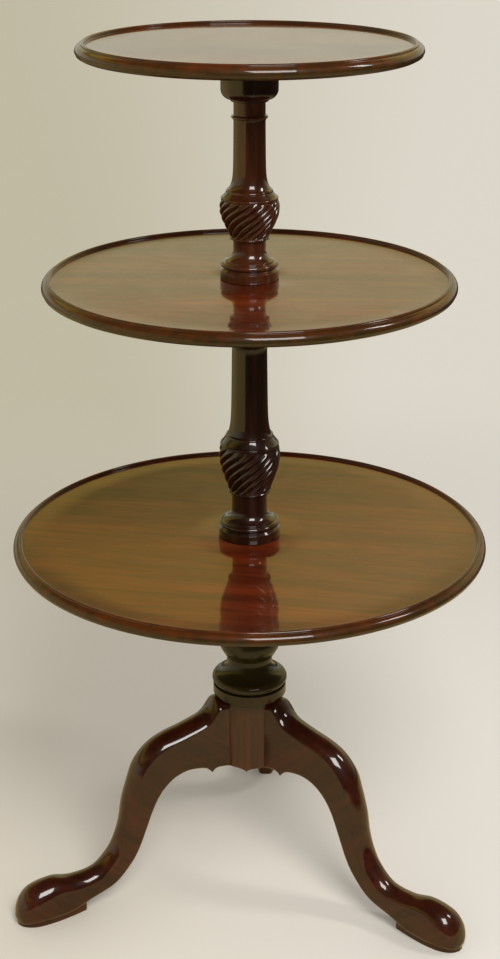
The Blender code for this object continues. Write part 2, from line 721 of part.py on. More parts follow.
def pillar_outline():
    """Outline of the pillar from its foot's rim up to the socket in its top."""
    points = pillar_band() + pillar_cushion() + pillar_bulb()
    points += shaft_outline(
        PILLAR_SHAFT_FOOT_RADIUS,
        PILLAR_SHAFT_RADIUS,
        PILLAR_BULB_RADIUS * SHOULDER_BEAD_TOP_SHARE,
        PILLAR_BULB_TOP + SHOULDER_BEAD_HEIGHT,
        PILLAR_TOP - ASTRAGAL_DROP - ASTRAGAL_HEIGHT,
    )
    points += astragal(PILLAR_SHAFT_RADIUS, PILLAR_TOP)
    points += socket_end(PILLAR_TOP_RADIUS, LOWER_SPIGOT_RADIUS, PILLAR_TOP)
    return points


def scallop_height(angle):
    """Height of the pillar's lower rim: a cusp in the middle of each face between legs."""
    face = math.tau / LEG_COUNT
    from_cusp = abs((angle - FIRST_LEG_ANGLE) % face - face / 2)
    to_crown = 1 - min(1.0, from_cusp / SCALLOP_HALF_ANGLE)
    return SCALLOP_TOP - SCALLOP_DROP * (1 - math.sqrt(1 - to_crown ** 2))


def temporary_object(name, mesh):
    """An object that only lends its shape to a Boolean."""
    cutter = bpy.data.objects.new(name, mesh)
    bpy.context.scene.collection.objects.link(cutter)
    cutter.hide_render = True
    cutter.display_type = "WIRE"
    return cutter


def combine(name, base_mesh, steps):
    """Apply Boolean steps of (operation, mesh, angle) to a mesh and return the result."""
    base = bpy.data.objects.new(name, base_mesh)
    bpy.context.scene.collection.objects.link(base)
    helpers = []
    for index, (operation, mesh, angle) in enumerate(steps):
        helper = temporary_object(f"{name}_helper_{index}", mesh)
        helper.rotation_euler = (0.0, 0.0, angle)
        modifier = base.modifiers.new(f"{name}_{index}", "BOOLEAN")
        modifier.operation = operation
        modifier.solver = "EXACT"
        modifier.object = helper
        helpers.append(helper)
    bpy.context.view_layer.update()
    evaluated = base.evaluated_get(bpy.context.evaluated_depsgraph_get())
    result = bpy.data.meshes.new_from_object(evaluated)
    for item in helpers + [base]:
        bpy.data.objects.remove(item, do_unlink=True)
    result.name = name
    result.shade_smooth()
    result.set_sharp_from_angle(angle=SMOOTH_ANGLE)
    return result


def prism(name, outline, low, high):
    """A solid that follows a plan outline of (x, y) points between two heights."""
    build = bmesh.new()
    rings = []
    for height in (low, high):
        rings.append([build.verts.new((x, y, height)) for x, y in outline])
    skin(build, rings)
    build.faces.new(rings[0])
    build.faces.new(rings[1])
    return finish_mesh(name, build)


def dovetail_plan(clearance, reach_out):
    """Plan of a leg's dovetail, widening toward the pillar's axis."""
    shoulder = LEG_SEAT + reach_out
    end = LEG_SEAT - DOVETAIL_DEPTH - clearance
    neck = DOVETAIL_NECK / 2 + clearance
    spread = DOVETAIL_SPREAD / 2 + clearance
    side = [(shoulder, neck), (LEG_SEAT, neck), (end, spread)]
    return side + [(x, -y) for x, y in reversed(side)]


def pillar_mesh():
    """The turned pillar, with three flats and three dovetail housings for the legs."""
    phase = math.pi / PILLAR_SEGMENTS
    angles = [phase + math.tau * index / PILLAR_SEGMENTS for index in range(PILLAR_SEGMENTS)]
    body_radii = [PILLAR_BODY_RADIUS] * PILLAR_SEGMENTS
    build = bmesh.new()
    spin_outline(build, pillar_outline(), PILLAR_SEGMENTS, phase=phase)
    shoulder = ring_of_verts(build, body_radii, [BAND_BOTTOM] * PILLAR_SEGMENTS, phase)
    rim = ring_of_verts(build, body_radii, [scallop_height(angle) for angle in angles], phase)
    skin(build, [shoulder, rim])
    centre = build.verts.new((0.0, 0.0, SCALLOP_TOP + PILLAR_FOOT_HOLLOW))
    for index, corner in enumerate(rim):
        build.faces.new((corner, rim[(index + 1) % len(rim)], centre))
    turned = finish_mesh("pillar_turning", build)

    half = LEG_THICKNESS / 2 + JOINT_GAP
    outside = PILLAR_BODY_RADIUS + OVERRUN
    flat_plan = [(LEG_SEAT, -half), (outside, -half), (outside, half), (LEG_SEAT, half)]
    low = SCALLOP_TOP - SCALLOP_DROP - OVERRUN
    flat = prism("pillar_flat", flat_plan, low, BAND_BOTTOM)
    housing_plan = dovetail_plan(JOINT_GAP, OVERRUN)
    housing = prism("pillar_housing", housing_plan, low, DOVETAIL_TOP + JOINT_GAP)
    steps = []
    for index in range(LEG_COUNT):
        angle = FIRST_LEG_ANGLE + math.tau * index / LEG_COUNT
        steps += [("DIFFERENCE", flat, angle), ("DIFFERENCE", housing, angle)]
    return combine("base_pillar", turned, steps)


def smooth_run(rows, steps):
    """Points on a smooth curve through the rows, with equal steps between two rows."""
    curve = [rows[0]]
    for index in range(len(rows) - 1):
        before = rows[max(index - 1, 0)]
        start = rows[index]
        end = rows[index + 1]
        after = rows[min(index + 2, len(rows) - 1)]
        for step in range(1, steps + 1):
            t = step / steps
            point = []
            for a, b, c, d in zip(before, start, end, after):
                point.append(
                    b
                    + (c - a) * t / 2
                    + (a - 2.5 * b + 2 * c - d / 2) * t ** 2
                    + (1.5 * (b - c) + (d - a) / 2) * t ** 3
                )
            curve.append(tuple(point))
    return curve


def leg_section(row, progress):
    """Corners of one cross-section of the leg, with a crowned ridge and a flatter belly."""
    ridge_x, ridge_z, belly_x, belly_z, width_share = row
    ridge = Vector((LEG_REACH * ridge_x, 0.0, LEG_HEIGHT * ridge_z))
    belly = Vector((LEG_REACH * belly_x, 0.0, LEG_HEIGHT * belly_z))
    up = ridge - belly
    depth = up.length
    up.normalize()
    half = LEG_THICKNESS / 2 * width_share
    crown = min(half, depth * CROWN_DEPTH_SHARE)
    blend = BELLY_ROUND_ROOT_SHARE + (BELLY_ROUND_TOE_SHARE - BELLY_ROUND_ROOT_SHARE) * progress
    corner = min(half, depth * BELLY_DEPTH_SHARE) * blend
    power = 1 - (1 - CROWN_POWER_SHARE) * max(0.0, 1 - progress / CROWN_BLEND_SHARE)
    side = Vector((0.0, 1.0, 0.0))
    points = []
    for step in range(RIDGE_STEPS + 1):
        angle = math.pi * step / RIDGE_STEPS
        across = math.copysign(abs(math.cos(angle)) ** power, math.cos(angle))
        lift = depth - crown + crown * max(0.0, math.sin(angle)) ** power
        points.append(belly + up * lift + side * half * across)
    points.append(belly + up * corner - side * half)
    points.append(belly - side * (half - corner))
    points.append(belly + side * (half - corner))
    points.append(belly + up * corner + side * half)
    return points


def sole_plan():
    """Plan of the thin pad under the foot: a drop shape with its round end at the toe."""
    toe = LEG_REACH - SOLE_TOE_INSET
    length = toe - SOLE_HEEL_REACH
    side = []
    for index in range(SOLE_STATIONS + 1):
        share = index / SOLE_STATIONS
        if share <= SOLE_WIDEST_SHARE:
            swell = math.sin(math.pi / 2 * share / SOLE_WIDEST_SHARE)
            width = SOLE_HEEL_WIDTH + (SOLE_WIDTH - SOLE_HEEL_WIDTH) * swell
        else:
            past = (share - SOLE_WIDEST_SHARE) / (1 - SOLE_WIDEST_SHARE)
            width = SOLE_WIDTH * math.sqrt(1 - SOLE_TOE_ROUND_SHARE * past ** 2)
        side.append((SOLE_HEEL_REACH + length * share, width / 2))
    return side + [(x, -y) for x, y in reversed(side)]


def leg_mesh():
    """One cabriole leg with its dovetail, its rounded ridge and its pointed pad foot."""
    build = bmesh.new()
    rows = list(ROOT_RUN_SHARES) + smooth_run(MAIN_RUN_SHARES, STATION_STEPS)[1:]
    rings = []
    for index, row in enumerate(rows):
        corners = leg_section(row, index / (len(rows) - 1))
        if index == 0:
            seat = LEG_SEAT + JOINT_GAP
            corners = [Vector((seat, corner.y, corner.z)) for corner in corners]
        rings.append([build.verts.new(corner) for corner in corners])
    skin(build, rings)
    build.faces.new(rings[0])
    build.faces.new(rings[-1])
    body = finish_mesh("leg_body", build)

    band_radius = (BAND_RADIUS + JOINT_GAP) / math.cos(math.pi / COLUMN_SEGMENTS)
    band_low = BAND_BOTTOM - JOINT_GAP
    band_high = LEG_HEIGHT + OVERRUN
    band_outline = [(0.0, band_high), (band_radius, band_high)]
    band_outline += [(band_radius, band_low), (0.0, band_low)]
    band_cut = turned_mesh("leg_band_cut", band_outline, COLUMN_SEGMENTS)
    tongue = prism("leg_tongue", dovetail_plan(0.0, OVERRUN), SCALLOP_TOP, DOVETAIL_TOP)
    sole = prism("leg_sole", sole_plan(), 0.0, SOLE_THICKNESS + OVERRUN)
    steps = [("DIFFERENCE", band_cut, 0.0), ("UNION", tongue, 0.0), ("UNION", sole, 0.0)]
    return combine("leg", body, steps)


def build_stand(axis):
    """Pillar, legs and both columns, which stand still."""
    add_piece("base_pillar", pillar_mesh(), PILLAR_WOOD, axis)
    leg = leg_mesh()
    for index, name in enumerate(("rear_leg", "left_leg", "right_leg")):
        angle = FIRST_LEG_ANGLE + math.tau * index / LEG_COUNT
        add_piece(name, leg, LEG_WOOD, axis, angle)
    add_piece("lower_column", lower_column_mesh(), COLUMN_WOOD, axis)
    add_piece("upper_column", upper_column_mesh(), COLUMN_WOOD, axis)


def build_tiers(axis):
    """The three trays, each with the block that it turns on."""
    lower_tier = axis_point("lower_tier_axis", axis)
    lower_tenon = LOWER_SPIGOT_RADIUS + BLOCK_TENON_WALL
    tray = pierced_tray(
        "lower_tray", LOWER_TRAY_RADIUS, LOWER_TRAY_FLOOR, lower_tenon, LOWER_DRUM_RADIUS
    )
    block = pierced_block(
        "lower_block", LOWER_BLOCK_RADIUS, PILLAR_TOP_RADIUS, LOWER_TRAY_FLOOR, LOWER_SPIGOT_RADIUS
    )
    add_piece("lower_tray", tray, TRAY_WOOD, lower_tier)
    add_piece("lower_block", block, BLOCK_WOOD, lower_tier)

    middle_tier = axis_point("middle_tier_axis", axis)
    middle_tenon = UPPER_SPIGOT_RADIUS + BLOCK_TENON_WALL
    tray = pierced_tray(
        "middle_tray", MIDDLE_TRAY_RADIUS, MIDDLE_TRAY_FLOOR, middle_tenon, UPPER_DRUM_RADIUS
    )
    block = pierced_block(
        "middle_block", MIDDLE_BLOCK_RADIUS, LOWER_SHAFT_RADIUS, MIDDLE_TRAY_FLOOR, UPPER_SPIGOT_RADIUS
    )
    add_piece("middle_tray", tray, TRAY_WOOD, middle_tier)
    add_piece("middle_block", block, BLOCK_WOOD, middle_tier)

    top_tier = axis_point("top_tier_axis", axis)
    top_tenon = TOP_PIN_RADIUS + BLOCK_TENON_WALL
    tray = top_tray_mesh("top_tray", TOP_TRAY_RADIUS, TOP_TRAY_FLOOR, top_tenon)
    block = top_block_mesh(
        "top_block", TOP_BLOCK_RADIUS, UPPER_SHAFT_RADIUS, TOP_TRAY_FLOOR, TOP_PIN_RADIUS
    )
    add_piece("top_tray", tray, TRAY_WOOD, top_tier)
    add_piece("top_block", block, BLOCK_WOOD, top_tier)


def main():
    """Build the whole dumbwaiter."""
    clear_scene()
    axis = axis_point("pillar_axis")
    axis.location = (0.0, COLUMN_Y, 0.0)
    build_stand(axis)
    build_tiers(axis)


main()
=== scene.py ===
# %% [markdown]
# # A mahogany dumbwaiter, finished for the camera
#
# The stand has a tripod, two turned columns and three round trays that revolve.
# The engineering model gives every piece its place and size.  Here each piece is
# made again with fine, smooth surfaces and a French-polished mahogany finish.
# We start by loading the model as a fixed frame and by keeping its box, so that
# at the end we can see that nothing has grown.

import math

import bmesh
import bpy
from mathutils import Matrix, Vector


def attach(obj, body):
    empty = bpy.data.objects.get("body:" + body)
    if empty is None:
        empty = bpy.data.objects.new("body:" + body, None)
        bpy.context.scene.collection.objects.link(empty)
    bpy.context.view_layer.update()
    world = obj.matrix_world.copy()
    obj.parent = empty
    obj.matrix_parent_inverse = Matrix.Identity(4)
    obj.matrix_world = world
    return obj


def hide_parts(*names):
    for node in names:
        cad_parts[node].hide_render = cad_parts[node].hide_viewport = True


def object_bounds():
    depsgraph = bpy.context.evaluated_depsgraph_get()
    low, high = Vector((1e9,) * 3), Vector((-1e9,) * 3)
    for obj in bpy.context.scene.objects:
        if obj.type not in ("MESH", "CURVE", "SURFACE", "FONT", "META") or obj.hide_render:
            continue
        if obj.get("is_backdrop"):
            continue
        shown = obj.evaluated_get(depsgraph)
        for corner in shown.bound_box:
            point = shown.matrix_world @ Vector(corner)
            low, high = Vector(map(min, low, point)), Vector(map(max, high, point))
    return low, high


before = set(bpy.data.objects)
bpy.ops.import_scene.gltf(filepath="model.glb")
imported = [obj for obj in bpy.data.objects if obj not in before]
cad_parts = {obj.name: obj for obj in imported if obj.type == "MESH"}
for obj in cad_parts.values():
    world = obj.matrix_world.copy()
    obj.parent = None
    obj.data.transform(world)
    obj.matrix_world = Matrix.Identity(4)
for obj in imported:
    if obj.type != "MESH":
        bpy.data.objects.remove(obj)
cad_low, cad_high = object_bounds()
AXIS_Y = -0.0176
print("pieces in the frame:", len(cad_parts))

# %% [markdown]
# ## Where the photographer stood
#
# The trays are circles, so the flattening of their ellipses gives the height and
# the tilt of the camera.  It stands about two metres away and looks down a
# little.  The focal length goes with a sensor whose long side is 36 mm.

# %% Camera
CAMERA_PLACE = (0.2046, -2.0889, 1.3938)
CAMERA_PITCH, CAMERA_TURN = 21.351, 5.64
FOCAL_LENGTH, SENSOR_SIDE = 65.5, 36.0
LENS_SHIFT = (0.0004, -0.0015)

lens = bpy.data.cameras.new("photographer")
lens.lens = FOCAL_LENGTH
lens.sensor_width = SENSOR_SIDE
lens.shift_x, lens.shift_y = LENS_SHIFT
lens.clip_start = 0.05
camera = bpy.data.objects.new("photographer", lens)
bpy.context.scene.collection.objects.link(camera)
camera.location = CAMERA_PLACE
camera.rotation_euler = (math.radians(90 - CAMERA_PITCH), 0.0, math.radians(CAMERA_TURN))
bpy.context.scene.camera = camera
away = math.hypot(CAMERA_PLACE[0], CAMERA_PLACE[1] - AXIS_Y)
print("camera distance from the axis:", round(away, 3))

# %% [markdown]
# ## Outlines for the lathe
#
# A turner thinks in outlines: fillets, beads, hollows and tapers, read along the
# axis.  An outline is a list of (radius, height) points.  Two helpers do most of
# the work.  One draws a bead or a hollow as an arc.  The other softens every
# corner a little, because polishing and dusting leave no corner sharp, and a
# softened corner is what catches the light.

# %% Arcs and softened corners
NEARLY_STRAIGHT = math.radians(160)
SHARE_OF_SIDE = 0.42
CORNER = 0.0006


def arc(start, end, bulge, steps=9):
    """Points after start up to end; bulge is the rise over half the chord."""
    chord = Vector(end) - Vector(start)
    half_angle = 2 * math.atan(bulge)
    radius = chord.length / (2 * math.sin(half_angle))
    side = Vector((chord.y, -chord.x)).normalized()
    centre = (Vector(start) + Vector(end)) / 2 - side * radius * math.cos(half_angle)
    arm = Vector(start) - centre
    turns = [Matrix.Rotation(2 * half_angle * step / steps, 2) for step in range(1, steps + 1)]
    return [tuple(centre + turn @ arm) for turn in turns]


def curved(first, here, last, t):
    """The point at a share t of the soft curve that starts off toward here."""
    return tuple(first * (1 - t) ** 2 + here * 2 * t * (1 - t) + last * t ** 2)


def soften(outline, radius=CORNER, closed=False):
    """Round each corner of an outline that turns by more than about 20 degrees."""
    soft = []
    count = len(outline)
    for index, corner in enumerate(outline):
        if not closed and index in (0, count - 1):
            soft.append(corner)
            continue
        here = Vector(corner)
        back = Vector(outline[index - 1]) - here
        ahead = Vector(outline[(index + 1) % count]) - here
        if back.length < 1e-7 or ahead.length < 1e-7:
            continue
        opening = back.angle(ahead)
        if opening > NEARLY_STRAIGHT:
            soft.append(corner)
            continue
        most = SHARE_OF_SIDE * back.length, SHARE_OF_SIDE * ahead.length
        reach = min(radius / math.tan(opening / 2), *most)
        first = here + back.normalized() * reach
        last = here + ahead.normalized() * reach
        soft += [curved(first, here, last, step / 4) for step in range(5)]
    return soft


print("a bead of 9 steps:", len(arc((0.02, 0.0), (0.02, 0.004), 1.0)), "points")

# %% [markdown]
# ## From outline to solid
#
# Blender could spin the outline with a Screw modifier, but the carved bulbs need
# a different radius at every angle.  So we stack rings of points and join
# neighbours with faces.  A plain ring has one radius; a carved one has a list.

# %% Stack rings into a mesh
ROUND = 192


def stack_rings(name, rows, closed=False, segments=ROUND):
    """A mesh from rows of (radius or radii, height or heights, turn)."""
    build = bmesh.new()
    rings = []
    for radius, height, turn in rows:
        ring = []
        for index in range(segments):
            angle = turn + math.tau * index / segments
            r = radius[index] if isinstance(radius, list) else radius
            z = height[index] if isinstance(height, list) else height
            ring.append(build.verts.new((r * math.cos(angle), r * math.sin(angle), z)))
        rings.append(ring)
    pairs = list(zip(rings, rings[1:]))
    if closed:
        pairs.append((rings[-1], rings[0]))
    for low, high in pairs:
        for index in range(segments):
            after = (index + 1) % segments
            build.faces.new((low[index], low[after], high[after], high[index]))
    return clean_mesh(name, build)


def clean_mesh(name, build):
    """Weld the points on the axis, turn faces outward and hand back a mesh."""
    bmesh.ops.remove_doubles(build, verts=build.verts, dist=1e-6)
    bmesh.ops.dissolve_degenerate(build, edges=build.edges, dist=1e-6)
    bmesh.ops.recalc_face_normals(build, faces=build.faces)
    mesh = bpy.data.meshes.new(name)
    build.to_mesh(mesh)
    build.free()
    return mesh


def turned(name, outline, closed=False, radius=CORNER):
    """A solid turned from a softened outline."""
    rows = [(r, z, 0.0) for r, z in soften(outline, radius, closed)]
    return stack_rings(name, rows, closed)


print("rings have", ROUND, "points")

# %% [markdown]
# ## Hollows and edges
#
# Old polish is never even.  Wax and dust darken the hollows, and the hollows are
# also painted darker where little light reaches them: painted shade.  Hands rub
# the edges lighter.  Each mesh gets two masks for this, measured from its own
# shape: where the neighbours of a point stand above it, it lies in a hollow, and
# where they fall away, it is on an edge.

# %% Measure hollows and edges
FULL_BEND = 0.16


def store_mask(mesh, name, values):
    """Store one number for each point under a name that a material can read."""
    mask = mesh.attributes.new(name, "FLOAT", "POINT")
    for index, value in enumerate(values):
        mask.data[index].value = value


def mark_hollows_and_edges(mesh):
    """Store how hollow and how exposed each point is, from 0 to 1."""
    build = bmesh.new()
    build.from_mesh(mesh)
    build.normal_update()
    bend = []
    for vert in build.verts:
        total = 0.0
        for edge in vert.link_edges:
            away = edge.other_vert(vert).co - vert.co
            total += vert.normal.dot(away.normalized()) if away.length > 1e-9 else 0.0
        bend.append(total / max(len(vert.link_edges), 1))
    for _ in range(2):
        evened = []
        for vert in build.verts:
            around = sum(bend[edge.other_vert(vert).index] for edge in vert.link_edges)
            evened.append(0.5 * bend[vert.index] + 0.5 * around / max(len(vert.link_edges), 1))
        bend = evened
    build.free()
    for name, sign in (("hollow", 1), ("edge", -1)):
        store_mask(mesh, name, [max(0.0, min(1.0, sign * b / FULL_BEND)) for b in bend])


def mark_stain_and_shade(mesh, share):
    """Store how far each point takes the darker stain and painted shade, with a thinner film."""
    store_mask(mesh, "stain_and_shade", [share(vert.co) for vert in mesh.vertices])


print("a point is in a full hollow at a bend of", FULL_BEND)

# %% Put a finished piece in its place
SHARP_TURNED, SHARP_CUT = math.radians(42), math.radians(40)


def set_piece(name, mesh, body, material, slot, *nodes, angle=0.0, smooth=True):
    """Put a finished mesh on the columns' axis, in place of its plain solid."""
    if smooth:
        mesh.shade_smooth()
        mesh.set_sharp_from_angle(angle=SHARP_TURNED)
    piece = bpy.data.objects.new(name, mesh)
    bpy.context.scene.collection.objects.link(piece)
    piece.location = (0.0, AXIS_Y, 0.0)
    piece.rotation_euler = (0.0, 0.0, angle)
    mesh.materials.append(material)
    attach(piece, body)
    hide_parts(*nodes)
    print(name, "has", len(mesh.polygons), "faces and rides on", body)


# %% [markdown]
# ## The mahogany finish
#
# Mahogany shows three things under polish: broad bands of lighter and darker
# wood, fine streaks along the grain, and short dark pores.  One node group makes
# all three from a point in the wood, so every piece shares it and each has its
# own cut.  The grain runs along the group's X direction.

# %% Helpers for node trees
def new_node(tree, kind, **values):
    """Add a node; each value is a plain property, a socket's number or a link."""
    node = tree.nodes.new(kind)
    for key, value in values.items():
        if isinstance(value, bpy.types.NodeSocket):
            tree.links.new(value, node.inputs[key])
        elif key in node.inputs:
            node.inputs[key].default_value = value
        else:
            setattr(node, key, value)
    return node


def group_with(name, outputs):
    """An empty node group that takes a point and gives some masks."""
    tree = bpy.data.node_groups.new(name, "ShaderNodeTree")
    tree.interface.new_socket(name="Point", in_out="INPUT", socket_type="NodeSocketVector")
    for label in outputs:
        tree.interface.new_socket(name=label, in_out="OUTPUT", socket_type="NodeSocketFloat")
    start, end = tree.nodes.new("NodeGroupInput"), tree.nodes.new("NodeGroupOutput")
    return tree, start.outputs["Point"], end.inputs


def feed(tree, sockets, values):
    """Give each socket its number, its colour or its link."""
    for socket, value in zip(sockets, values):
        if isinstance(value, bpy.types.NodeSocket):
            tree.links.new(value, socket)
        else:
            socket.default_value = (*value, 1.0) if isinstance(value, tuple) else value


def math_node(tree, operation, *values, clamp=False):
    """A Math node fed by sockets or numbers."""
    node = new_node(tree, "ShaderNodeMath", operation=operation, use_clamp=clamp)
    feed(tree, node.inputs, values)
    return node.outputs[0]


def ramp(tree, value, low, high):
    """Map low..high of a value to 0..1 with soft ends."""
    node = new_node(tree, "ShaderNodeMapRange", interpolation_type="SMOOTHSTEP", Value=value)
    feed(tree, (node.inputs["From Min"], node.inputs["From Max"]), (low, high))
    return node.outputs["Result"]


# %% The grain group
def stretched(tree, vector, scale):
    """The point, squeezed along the grain, so that a pattern is drawn out."""
    return new_node(tree, "ShaderNodeMapping", Vector=vector, Scale=scale).outputs[0]


def cloud(tree, vector, detail, roughness=0.55, distortion=0.0):
    """Noise with a value around one half."""
    shape = dict(Scale=1.0, Detail=detail, Roughness=roughness, Distortion=distortion)
    return new_node(tree, "ShaderNodeTexNoise", Vector=vector, **shape).outputs["Fac"]


grain, point, grain_out = group_with("mahogany_grain", ("Bands", "Streaks", "Pores"))
bands = cloud(grain, stretched(grain, point, (1.1, 9.0, 9.0)), 5.0, 0.6, 1.4)
grain.links.new(ramp(grain, bands, 0.33, 0.68), grain_out["Bands"])
streaks = cloud(grain, stretched(grain, point, (6.0, 95.0, 95.0)), 5.0, 0.70)
grain.links.new(ramp(grain, streaks, 0.30, 0.72), grain_out["Streaks"])
dashes = cloud(grain, stretched(grain, point, (70.0, 1500.0, 1500.0)), 1.0)
where = cloud(grain, stretched(grain, point, (9.0, 60.0, 60.0)), 1.0)
dashes, where = ramp(grain, dashes, 0.60, 0.70), ramp(grain, where, 0.35, 0.60)
pores = math_node(grain, "MULTIPLY", dashes, where)
grain.links.new(pores, grain_out["Pores"])
print("grain group outputs:", [s.name for s in grain_out if s.name])

# %% [markdown]
# ## Age and painted shade on the surface
#
# A second group breaks the masks of hollows and edges up with a little noise, so
# that dark wax with painted shade in the hollows and rubbed edges look uneven,
# not like an outline drawn round the piece.  It also gives the slow unevenness of
# hand polishing.

# %% The group for age and painted shade
age, point, age_and_shade_out = group_with("age_and_handling", ("Wax_and_shade", "Rubbed", "Haze"))
breakup = cloud(age, stretched(age, point, (60.0, 60.0, 60.0)), 4.0)
for mask, low, high, output in (("hollow", 0.15, 0.55, "Wax_and_shade"), ("edge", 0.38, 0.70, "Rubbed")):
    stored = new_node(age, "ShaderNodeAttribute", attribute_name=mask).outputs["Fac"]
    broken = math_node(age, "MULTIPLY", stored, ramp(age, breakup, low, high), clamp=True)
    age.links.new(broken, age_and_shade_out[output])
haze = cloud(age, stretched(age, point, (14.0, 14.0, 14.0)), 5.0, 0.6, 0.6)
age.links.new(ramp(age, haze, 0.30, 0.75), age_and_shade_out["Haze"])
print("age group outputs:", [s.name for s in age_and_shade_out if s.name])

# %% [markdown]
# ## One material for each cut
#
# French polish is a hard clear film over stained wood, which is why it mirrors
# its surroundings so well.  So the material has two layers: the wood below with
# a duller shine, and a clear coat above it.  The colours are those of the wood,
# without what it mirrors, except that the lower column is painted darker as
# painted shade and the upper one lighter as painted light.  Rims and the pillar's
# mouldings were stained darker and carry painted shade as well, and less of the
# film is left on them.

# %% Colours that lie over the wood
# The hollows' dark colour is wax together with painted shade, where little light reaches.
PORES, WAX_AND_SHADE, STAIN_AND_SHADE_TINT = (0.012, 0.004, 0.002), (0.010, 0.004, 0.003), (0.017, 0.0140, 0.0027)
STREAK_TINT, RUBBED_TINT = (0.55, 0.45, 0.5), (1.6, 1.7, 1.9)


def blend_colour(tree, factor, first, second, amount=1.0):
    """Mix two colours, each a socket or a plain colour, by a mask."""
    node = new_node(tree, "ShaderNodeMix", data_type="RGBA")
    if amount != 1.0:
        factor = math_node(tree, "MULTIPLY", factor, amount)
    feed(tree, (node.inputs[0], *node.inputs[6:8]), (factor, first, second))
    return node.outputs[2]


print("colours over the wood:", PORES, WAX_AND_SHADE, STAIN_AND_SHADE_TINT)

# %% Build a mahogany material
def mahogany(name, dark, light, turn, offset):
    """French-polished mahogany; turn lays the grain along the piece."""
    material = bpy.data.materials.new(name)
    material.use_nodes = True
    tree = material.node_tree
    shader = tree.nodes["Principled BSDF"]
    place = new_node(tree, "ShaderNodeTexCoord").outputs["Object"]
    laid = dict(Rotation=[math.radians(a) for a in turn], Location=offset)
    cut = new_node(tree, "ShaderNodeMapping", Vector=place, **laid).outputs[0]
    wood = new_node(tree, "ShaderNodeGroup", node_tree=grain, Point=cut)
    worn_and_shaded = new_node(tree, "ShaderNodeGroup", node_tree=age, Point=cut)

    stain_and_shade = new_node(tree, "ShaderNodeAttribute", attribute_name="stain_and_shade").outputs["Fac"]
    deep = tuple(c * s for c, s in zip(dark, STREAK_TINT))
    rubbed = tuple(min(1.0, c * s) for c, s in zip(light, RUBBED_TINT))
    colour = blend_colour(tree, wood.outputs["Bands"], dark, light)
    for mask, tint, amount in (
        (wood.outputs["Streaks"], deep, 0.80),
        (wood.outputs["Pores"], PORES, 0.55),
        # dark wax with painted shade in the hollows
        (worn_and_shaded.outputs["Wax_and_shade"], WAX_AND_SHADE, 0.85),
        (stain_and_shade, STAIN_AND_SHADE_TINT, 0.90),
        (worn_and_shaded.outputs["Rubbed"], rubbed, 0.45),
    ):
        colour = blend_colour(tree, mask, colour, tint, amount)
    tree.links.new(colour, shader.inputs["Base Color"])

    haze = worn_and_shaded.outputs["Haze"]
    dull = math_node(tree, "MULTIPLY_ADD", haze, 0.14, 0.30)
    tree.links.new(dull, shader.inputs["Roughness"])
    film = math_node(tree, "MULTIPLY_ADD", stain_and_shade, -0.40, 1.0)
    tree.links.new(film, shader.inputs["Coat Weight"])
    shader.inputs["Coat Roughness"].default_value = 0.055
    shader.inputs["Specular IOR Level"].default_value = 0.10

    sunken = math_node(tree, "MULTIPLY", wood.outputs["Pores"], -0.35)
    relief = math_node(tree, "ADD", sunken, math_node(tree, "MULTIPLY", haze, 0.25))
    bump = new_node(tree, "ShaderNodeBump", Height=relief, Strength=0.25, Distance=0.0006)
    tree.links.new(bump.outputs["Normal"], shader.inputs["Normal"])
    return material


# %% The six woods, each from its dark bands to its light ones
TRAY_DARK, TRAY_LIGHT = (0.060, 0.0070, 0.0010), (0.180, 0.0250, 0.0030)
# The lower column's colours are painted darker than the upper column's: painted shade under the
# middle tray. The upper column's are painted lighter: painted light.
LOWER_COLUMN_SHADED_DARK, LOWER_COLUMN_SHADED_LIGHT = (0.011, 0.0036, 0.0018), (0.032, 0.0094, 0.0037)
PILLAR_DARK, PILLAR_LIGHT = (0.024, 0.0058, 0.0022), (0.060, 0.0150, 0.0046)
UPPER_COLUMN_LIT_DARK, UPPER_COLUMN_LIT_LIGHT = (0.032, 0.0085, 0.0030), (0.088, 0.0245, 0.0068)
LEG_DARK, LEG_LIGHT = (0.022, 0.0040, 0.0013), (0.054, 0.0092, 0.0025)
BLOCK_DARK, BLOCK_LIGHT = (0.010, 0.0036, 0.0018), (0.028, 0.0090, 0.0034)
UPRIGHT, SLANTING = (0, 90, 0), (0, 40, 0)
print("tray wood from", TRAY_DARK, "to", TRAY_LIGHT)

# %% [markdown]
# ## The trays
#
# Each tray is one broad board, dished on the lathe: the middle is sunk by a few
# millimetres and a moulded rim is left standing.  From the inside outward the rim
# has a small wall, a bead, a quirk and a long rounded nose that tucks under.
# The grain runs from left to right on all three, as in the photograph.

# %% The rim's moulding
DISH, BOARD, RIM = 0.0045, 0.0128, 0.0118
LOWER_FLOOR, MIDDLE_FLOOR, TOP_FLOOR = 0.5030, 0.8435, 1.1243
BEAD_WIDTH, BEAD_DROP = 0.0044, 0.0014
QUIRK_START, QUIRK_END, QUIRK_DROP = 0.0045, 0.0052, 0.0028
NOSE_INSET, NOSE_DROP = 0.0004, 0.0112
TUCK_RISE, TUCK_INSET = 0.0022, 0.0062


def rim_outline(radius, floor):
    """The moulded rim from the foot of its inner wall to the flat underside."""
    crest, underside, inner = floor + DISH, floor - BOARD, radius - RIM
    bead_start = (inner, crest - BEAD_DROP)
    bead_end = (inner + BEAD_WIDTH, crest - BEAD_DROP)
    quirk_start = (inner + QUIRK_START, crest - QUIRK_DROP)
    quirk_end = (inner + QUIRK_END, crest - QUIRK_DROP)
    nose_end = (radius - NOSE_INSET, crest - NOSE_DROP)
    points = [(inner, floor), bead_start] + arc(bead_start, bead_end, -0.60)
    points += [quirk_start, quirk_end] + arc(quirk_end, nose_end, -0.40, 14)
    tuck = (radius - TUCK_RISE, underside + TUCK_RISE)
    return points + [tuck, (radius - TUCK_INSET, underside)]


